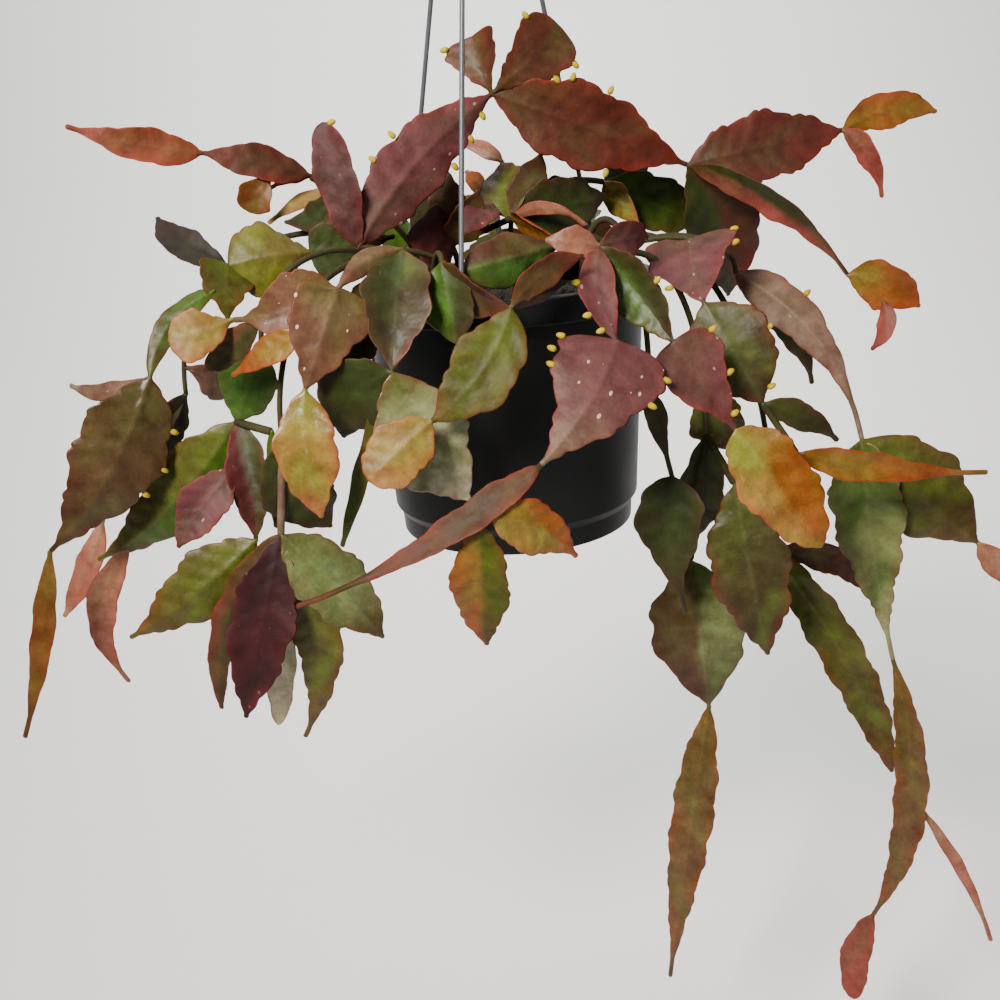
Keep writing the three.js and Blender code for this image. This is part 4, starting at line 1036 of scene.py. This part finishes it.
# Crown: short joints that stand up out of the middle of the pot.
leafy_stem(
    "stem_crown",
    [("c0", (4, 6), (512, 218, -6), 148)],
    [
        ("c1", "c0", (541, 153, 4), "bronze", 20, "leaf", 10, 0.03, 0.04, 12),
        ("c2", "c0", (502, 162, 20), "olive", 28, "leaf", -20, 0.05, 0, 10),
        ("c3", "c2:0.3", (462, 236, -34), "mauve", 16, "leaf", 25, 0.06, 0, 10),
        ("c4", "c0", (586, 226, -14), "pink", 7, "lance", 20, 0, -0.2, 10),
        ("c6", "c0", (562, 244, -34), "orange", 16, "lance", 60, 0, -0.06, 10),
        ("c7", "c6", (464, 272, -60), "leafgreen bronze", 25, "pear", 4, 0.12, 0, -18),
        ("c8", "c0", (456, 243, 0), "stalk", 4, "stem", 0, 0, 0, 0),
        ("c9", "c8", (440, 163, 8), "brown", 20, "leaf", -12, 0.05, 0, 12),
        ("c10", "c2:0.45", (466, 171, 34), "orange", 9, "leaf", 0, 0.05, 0, 8),
        ("c11", "c2", (450, 143, 26), "pink", 9, "lance", 30, 0, 0.12, 8),
        ("c12", "c0", (604, 182, 28), "stalk", 4, "stem", 0, 0, -0.12, 0),
        ("c13", "c12", (706, 223, 34), "green", 30, "leaf", 10, 0.03, 0, 8),
        ("c14", "c12", (642, 228, 16), "gold", 15, "lance", 20, 0.04, 0, 10),
        ("c15", "c12", (650, 158, 50), "dark", 26, "leaf", 20, 0.05, 0, 10),
        ("c16", "c8", (414, 200, 34), "dark", 22, "leaf", -25, 0.05, 0, 10),
        ("c17", "c8", (406, 236, -22), "plum", 32, "leaf", 10, 0.05, 0, 10),
        # c18 and c20 fill the deep shade behind the crown: their near-black and dark green are partly
        # painted shade.
        ("c18", "c0", (572, 178, 22), "shade_black", 22, "leaf", 16, 0.05, 0.04, 10),
        ("c19", "c8", (478, 190, -14), "bronze", 21, "leaf", 20, 0.05, 0, 10),
        ("c20", "c0", (606, 196, 14), "dark", 32, "leaf", 10, 0.05, 0, 8),
    ]
)

# Outer left stem: hangs over the rim, thins to a strap and ends in one broad bronze joint.
leafy_stem(
    "stem_left_outer",
    [("d0", (-50, 4), (312, 252, -8), 145)],
    [
        ("d1", "d0", (228, 266, -16), "moss", 37, "pear", 10, 0.08, 0.02, -12),
        ("d2", "d1", (228, 322, -26), "olive", 30, "heart", -15, 0.08, 0.05, 10),
        ("d3", "d1", (157, 217, 6), "shade_black", 18, "leaf", 25, 0.04, -0.12, 14),
        ("d4", "d2:0.5", (150, 378, -49), "green", 12, "strap", 15, 0, 0.14, 6),
        ("d5", "d4", (50, 552, -64), "bronze", 43, "lance", -8, 0.06, -0.05, -8),
        ("d6", "d5", (25, 738, -66), "rust", 12, "lance", 20, 0.02, -0.03, 12),
        ("d7", "d4", (70, 385, -18), "tan", 9, "leaf", 10, 0.04, -0.09, 8),
        ("d8", "d0", (395, 236, 0), "dark", 26, "heart", 6, 0.05, 0, 8),
    ],
    [("d5", 0.2, -1), ("d5", 0.38, -1), ("d5", 0.52, -1)])

# Rear left stem: dark joints that hang behind the outer one.
leafy_stem(
    "stem_left_back",
    [("e0", (-54, 20), (186, 394, -6), 168)],
    [
        ("e1", "e0", (165, 470, -4), "shade_black", 20, "leaf", -20, 0.05, 0.12, 10),
        ("e2", "e0", (103, 520, -16), "dark", 14, "lance", 0, 0.04, 0.05, 10),
        ("e3", "e2", (64, 617, -22), "pink", 14, "leaf", 15, 0.05, -0.05, 12),
        ("e4", "e0:0.93", (222, 400, 6), "tan", 16, "pear", 0, 0.05, -0.15, 8),
    ]
)

# Inner left stem: forks below the rim into two hanging branches.
leafy_stem(
    "stem_left_inner",
    [("f0", (-52, -12), (262, 350, -48), 158)],
    [
        ("f1", "f0", (236, 422, -46), "leafgreen", 28, "leaf", 10, 0.05, 0, 8),
        ("f2", "f1", (98, 560, -28), "green olive", 35, "lance", -6, 0.06, -0.05, -8),
        ("f3", "f2:0.82", (130, 682, -34), "pink", 16, "lance", 10, 0.04, 0.18, 12),
        ("f4", "f1", (272, 432, -60), "stalk", 5, "stem", 0, 0, 0, 0),
        ("f5", "f1", (256, 540, -64), "dark plum", 22, "leaf", 10, 0.06, -0.05, 22),
        ("f6", "f5:0.4", (178, 548, -70), "mauve", 24, "leaf", 10, 0.05, 0.04, 16),
        ("f7", "f5", (130, 638, -66), "olive", 33, "lance", -10, 0.07, -0.02, -8),
        ("f8", "f4", (276, 528, -56), "green", 8, "strap", 30, 0, 0, 8),
    ]
)

# Low left stem: drops straight in front of the wall and spreads into five joints.
leafy_stem(
    "stem_left_low",
    [("h0", (-40, -30), (282, 440, -80), 158)],
    [
        ("h1", "h0", (281, 535, -80), "tan", 4.5, "stem", 0, 0, 0, 0),
        ("h2", "h1", (246, 718, -86), "wine", 31, "leaf", 8, 0.04, 0, 10),
        ("h3", "h1", (384, 638, -80), "silver", 33, "leaf", -8, 0.08, -0.01, -10),
        ("h4", "h1", (305, 737, -62), "olive", 25, "lance", 10, 0.05, -0.115, 12),
        ("h5", "h1", (222, 709, -66), "dark brown", 15, "strap", 10, 0.03, 0.1, 8),
        ("h6", "h1", (279, 725, -72), "pale", 14, "pear", -10, 0.03, 0, 8),
        ("h7", "h0", (332, 527, -66), "dark", 34, "leaf", 8, 0.05, 0.08, 10),
    ]
)

# Left front stem: broad young joints that lie over the rim and in front of the wall.
leafy_stem(
    "stem_left_front",
    [("i0", (-18, -44), (402, 250, -60), 144)],
    [
        ("i1", "i0", (337, 290, -84), "dusky", 11, "leaf", 10, 0.05, 0.09, -6),
        ("i2", "i1", (232, 320, -80), "dusky", 33, "spade", 4, 0.07, -0.06, 12),
        ("i3", "i1", (305, 390, -98), "dusky", 36, "shield", -6, 0.08, 0, -6),
        ("i4", "i3", (322, 518, -106), "gold", 28, "leaf", 6, 0.06, 0.04, 10),
        ("i5", "i2", (168, 340, -86), "peach", 23, "pear", 6, 0.08, -0.05, 8),
        ("i6", "i3:0.5", (232, 376, -86), "orange", 14, "lance", 20, 0.03, 0, 10),
        ("i7", "i2:0.75", (203, 372, -66), "dark brown", 15, "leaf", 10, 0.03, 0, 10),
        ("i8", "i0", (392, 372, -96), "bark dark", 32, "leaf", 4, 0.07, 0, 16),
        ("i9", "i8", (344, 438, -82), "dark", 36, "leaf", 4, 0.05, 0.15, 10),
        ("i10", "i8", (470, 500, -88), "frost_sheen", 40, "leaf", 0, 0.05, 0.05, 12),
        ("i11", "i8", (342, 547, -82), "green", 9, "strap", 20, 0, 0, 8),
        ("i12", "i8:0.25", (334, 384, -74), "dark", 26, "leaf", -8, 0.04, 0, 8),
    ]
)

# Front stem: lies over the rim beside the front wire.
leafy_stem(
    "stem_front",
    [("p0", (-33, -50), (442, 262, -73), 150)],
    [
        ("p1", "p0", (511, 308, -94), "brown", 28, "leaf", 58, 0.04, 0.06, 22),
        ("p2", "p1", (584, 256, -80), "brown", 14, "leaf", 20, 0.02, -0.12, 14),
        ("p3", "p1", (431, 422, -106), "lime", 31, "leaf", 6, 0.06, -0.1, 8),
        ("p4", "p3", (369, 482, -114), "peach", 27, "oval", 4, 0.05, 0.01, -6),
        ("p5", "p1", (566, 282, -82), "shade_black", 9, "leaf", 10, 0.04, -0.05, 8),
        ("p6", "p0", (460, 346, -80), "dark leafgreen", 28, "leaf", 25, 0.06, 0, 10),
    ]
)

# Right front stem: two chains of broad joints, one swept far to the left.
leafy_stem(
    "stem_front_right",
    [("j0", (20, -42), (599, 246, -62), 145)],
    [
        ("j1", "j0", (617, 342, -90), "mauve", 17, "leaf", -6, 0.05, 0.09, 12),
        ("j2", "j0", (674, 343, -86), "dark green", 27, "leaf", 14, -0.06, 0, 30),
        ("j3", "j1", (540, 466, -120), "mist", 50, "heart", 4, 0.06, -0.065, -6),
        ("j4", "j2", (736, 430, -90), "mauve", 33, "heart", -6, 0.04, 0, 16),
        ("j5", "j3", (296, 607, -130), "tawny", 15, "taper", 20, 0.02, -0.055, 14),
        ("j6", "j5:0.24", (577, 557, -112), "orange peach", 24, "lance", 6, 0.05, -0.08, 10),
        ("j7", "j5:0.28", (487, 645, -112), "lime orange", 26, "leaf", 4, 0.05, 0.02, 10),
        ("j8", "j4", (822, 547, -98), "orange gold", 34, "strap", -8, 0.05, 0, 8),
        ("j9", "j0", (648, 238, -42), "mauve", 17, "leaf", 10, 0.06, -0.06, 8),
        ("j10", "j0", (545, 240, -64), "pink", 14, "leaf", 10, 0.1, 0, 8),
    ],
    [("j1", 0.4, 1), ("j1", 0.7, 1), ("j1", 0.86, 1), ("j2", 0.55, -1), ("j3", 0.06, 1),
     ("j3", 0.2, 1), ("j3", 0.34, 1), ("j3", 0.12, -1), ("j3", 0.3, -1), ("j4", 0.1, -1),
     ("j4", 0.5, -1), ("j4", 0.85, -1)])

# Upper right stem: two stalks, one with broad joints to the right and one that drops low.
leafy_stem(
    "stem_right_upper",
    [("k0", (40, -6), (690, 240, -22), 143), ("n0", (50, -24), (706, 436, -36), 149)],
    [
        ("k1", "k0", (704, 303, -60), "mauve", 44, "shield", 4, 0.04, 0.03, 8),
        ("k2", "k1", (763, 404, -76), "bark", 41, "leaf", -6, 0.07, 0, 8),
        ("k3", "k2", (838, 441, -68), "dark", 14, "lance", 14, 0.04, -0.08, 10),
        ("k4", "k2", (797, 454, -80), "stalk", 4, "stem", 0, 0, 0, 0),
        ("k5", "k4", (988, 472, -86), "orange", 16, "spade", 20, 0.03, 0.02, 15),
        ("n1", "n0", (690, 560, -28), "stalk", 5, "stem", 0, 0, 0, 0),
        ("n2", "n1", (709, 706, -34), "silver bronze", 52, "leaf", -4, 0.06, 0, -14),
        ("n3", "n2", (670, 977, -44), "copper", 23, "lance", 6, 0.03, 0, -10),
        ("n4", "n0", (735, 484, -50), "stalk", 5, "stem", 0, 0, 0, 0),
        ("n5", "n4", (768, 655, -58), "bark", 40, "leaf", 6, 0.05, 0, 8),
        ("n6", "n0", (694, 540, -14), "dark", 24, "leaf", -10, 0.04, 0, 10),
        ("n7", "n0:0.86", (730, 450, -26), "olive", 28, "leaf", 4, 0.04, 0, 8),
    ],
    [("k1", 0.1, -1), ("k1", 0.35, -1), ("k1", 0.7, 1), ("k2", 0.9, -1)])

# Outer right stem: the longest chain, down to the bottom right.
leafy_stem(
    "stem_right_outer",
    [("l0", (54, 6), (736, 274, -10), 147)],
    [
        ("l1", "l0", (862, 440, -46), "tan", 22, "taper", -6, 0.06, -0.11, -8),
        ("l2", "l1", (978, 543, -52), "olive", 45, "leaf", 4, 0.06, 0, -8),
        ("l3", "l2", (1012, 592, -54), "pink", 13, "lance", 10, 0.03, -0.05, 10),
        ("l4", "l1", (893, 660, -34), "sage", 36, "taper", 6, 0.05, 0.01, 10),
        ("l5", "l4", (873, 915, -44), "copper", 18, "leaf", 10, 0.03, -0.105, 10),
        ("l6", "l5", (854, 999, -48), "red", 17, "oval", 10, 0.03, 0.07, 10),
        ("l7", "l5:0.52", (991, 941, -52), "pink", 7, "lance", 20, 0, -0.04, 8),
        ("l8", "l0", (812, 384, 4), "dark", 18, "lance", 10, 0.04, -0.1, 8),
    ],
    [("l1", 0.3, -1), ("l1", 0.28, 1)])

# Low right stem: two dark joints close in front of the wall.
leafy_stem(
    "stem_right_low",
    [("m0", (36, -38), (650, 392, -50), 172)],
    [
        ("m1", "m0", (672, 476, -48), "dark", 11, "taper", 10, 0.02, 0, 8),
        ("m2", "m1", (686, 612, -52), "dark", 34, "taper", 8, 0.07, 0.04, 12),
    ]
)

# Rear right stem: a long strap that hangs behind the others.
leafy_stem(
    "stem_right_back",
    [("o0", (50, 22), (774, 552, -16), 158)],
    [
        ("o1", "o0", (892, 772, -24), "olive", 24, "strap", 8, 0.04, -0.05, 10),
        ("o2", "o0", (877, 610, -8), "brown", 17, "lance", 10, 0.03, -0.18, 10),
    ]
)

# Back stems: three like chains that hang over the far side of the rim. One pattern is set at three
# angles: each joint's parent, turn about the pot, then its tip's radius and height, its width in
# mm, and its skin. A slow sine changes each joint a little. The root and the peak are in mm too.
BACK_ANGLES = (61, 90, 119)
BACK_ROOT = 46
BACK_REACH = 95 * MM
BACK_END = 138 * MM
BACK_PEAK = 152
BACK_PATTERN = (
    (0, 2, 112, 92, 36, "olive"),
    (1, 5, 119, 34, 36, "bronze"),
    (1, -9, 112, 52, 27, "maroon"),
    (2, 3, 116, -22, 26, "dusky"),
    (0, 8, 124, 150, 26, "green"),
    (0, -10, 112, 116, 22, "brown"),
)


def around(degrees, radius, height):
    """Point at a turn about the pot's axis, a radius, and a height over the pot's underside."""
    angle = math.radians(degrees)
    return np.array((radius * math.cos(angle), radius * math.sin(angle), POT_LOW + height))


for index, degrees in enumerate(BACK_ANGLES):
    random = np.random.default_rng(60 + index)
    root = around(degrees, BACK_ROOT, 0)[:2]
    stalk = Stalk(root, around(degrees, BACK_REACH, BACK_END), BACK_PEAK)
    tips = [stalk.middle(1)]
    shells = [stalk.shell("stalk", random)]
    for i, (parent, swing, radius, height, width, skin) in enumerate(BACK_PATTERN):
        change = math.sin(3.1 * i + 2.3 * index)
        tip_angle = degrees + swing + 2 * change
        tips.append(around(tip_angle, (radius + 2 * change) * MM, (height + 7 * change) * MM))
        joint = Cladode(tips[parent], tips[-1], width, "leaf", 12 * change, -0.08, 0, 8)
        shells.append(joint.shell(skin, random))
    new_stem(f"stem_back_{index + 1}", shells)


# Studio: a pale matt paper sweep that turns up behind the plant, four soft lamps and a dim sky.
FLOOR_Z = -0.8
SWEEP_COLUMNS = 9
sweep_line = rounded([(-3.0, FLOOR_Z), (2.6, FLOOR_Z), (2.6, 2.6)], radius=1.6, steps=24)
width_line = np.linspace(-4, 4, SWEEP_COLUMNS)
grid = np.stack(np.broadcast_arrays(width_line, sweep_line[:, :1], sweep_line[:, 1:]), axis=-1)
corner = np.arange(len(sweep_line) - 1)[:, None] * SWEEP_COLUMNS + np.arange(SWEEP_COLUMNS - 1)
above = corner + SWEEP_COLUMNS
faces = np.stack((corner, corner + 1, above + 1, above), axis=-1).reshape(-1, 4)
floor = new_piece("studio_sweep", grid.reshape(-1, 3), faces)
paper, shader = new_finish("pale_matt_paper")
shader.inputs["Base Color"].default_value = linear("#efeeeb")
shader.inputs["Roughness"].default_value = 0.9
floor.data.materials.append(paper)


def lamp(name, spot, aim, size, power, spread, colour):
    """A square soft lamp at a spot, turned to face another, whose light stays in an angle."""
    light = bpy.data.objects.new(name, bpy.data.lights.new(name, "AREA"))
    light.data.size = size
    light.data.spread = math.radians(spread)
    light.data.energy = power
    light.data.color = linear(colour)[:3]
    forward = unit(np.subtract(aim, spot))
    right = unit(np.cross(forward, (0.01, 0.02, 1)))
    turn = Matrix(np.column_stack((right, np.cross(right, forward), -forward)).tolist()).to_4x4()
    light.matrix_world = Matrix.Translation(spot) @ turn
    bpy.context.scene.collection.objects.link(light)


plant_middle = (0, 0, -0.38)
lamp("key", (-0.6, -1.05, 0.5), plant_middle, 0.4, 10, 80, "#fff8ee")
lamp("fill", (1.3, -0.9, 0.2), plant_middle, 0.8, 1.2, 90, "#e6f0ff")
lamp("top", (-0.1, 0.35, 0.9), plant_middle, 0.9, 2.2, 80, "#ffffff")
lamp("backdrop", (0, 1.0, 1.2), (0, 2.3, -0.1), 1.8, 62, 150, "#ffffff")

world = bpy.data.worlds.new("studio")
bpy.context.scene.world = world
world.use_nodes = True
surround = world.node_tree.nodes["Background"]
surround.inputs["Color"].default_value = linear("#e8ebee")
way = add_node(world, "TexCoord").outputs["Generated"]
way_parts = add_node(world, "SeparateXYZ", {"Vector": way})
glow = add_node(world, "MapRange", {
    "Value": way_parts.outputs["Z"], "From Min": 0.3, "From Max": 1.0, "To Min": 0.16, "To Max": 0.45})
world.node_tree.links.new(glow.outputs["Result"], surround.inputs["Strength"])
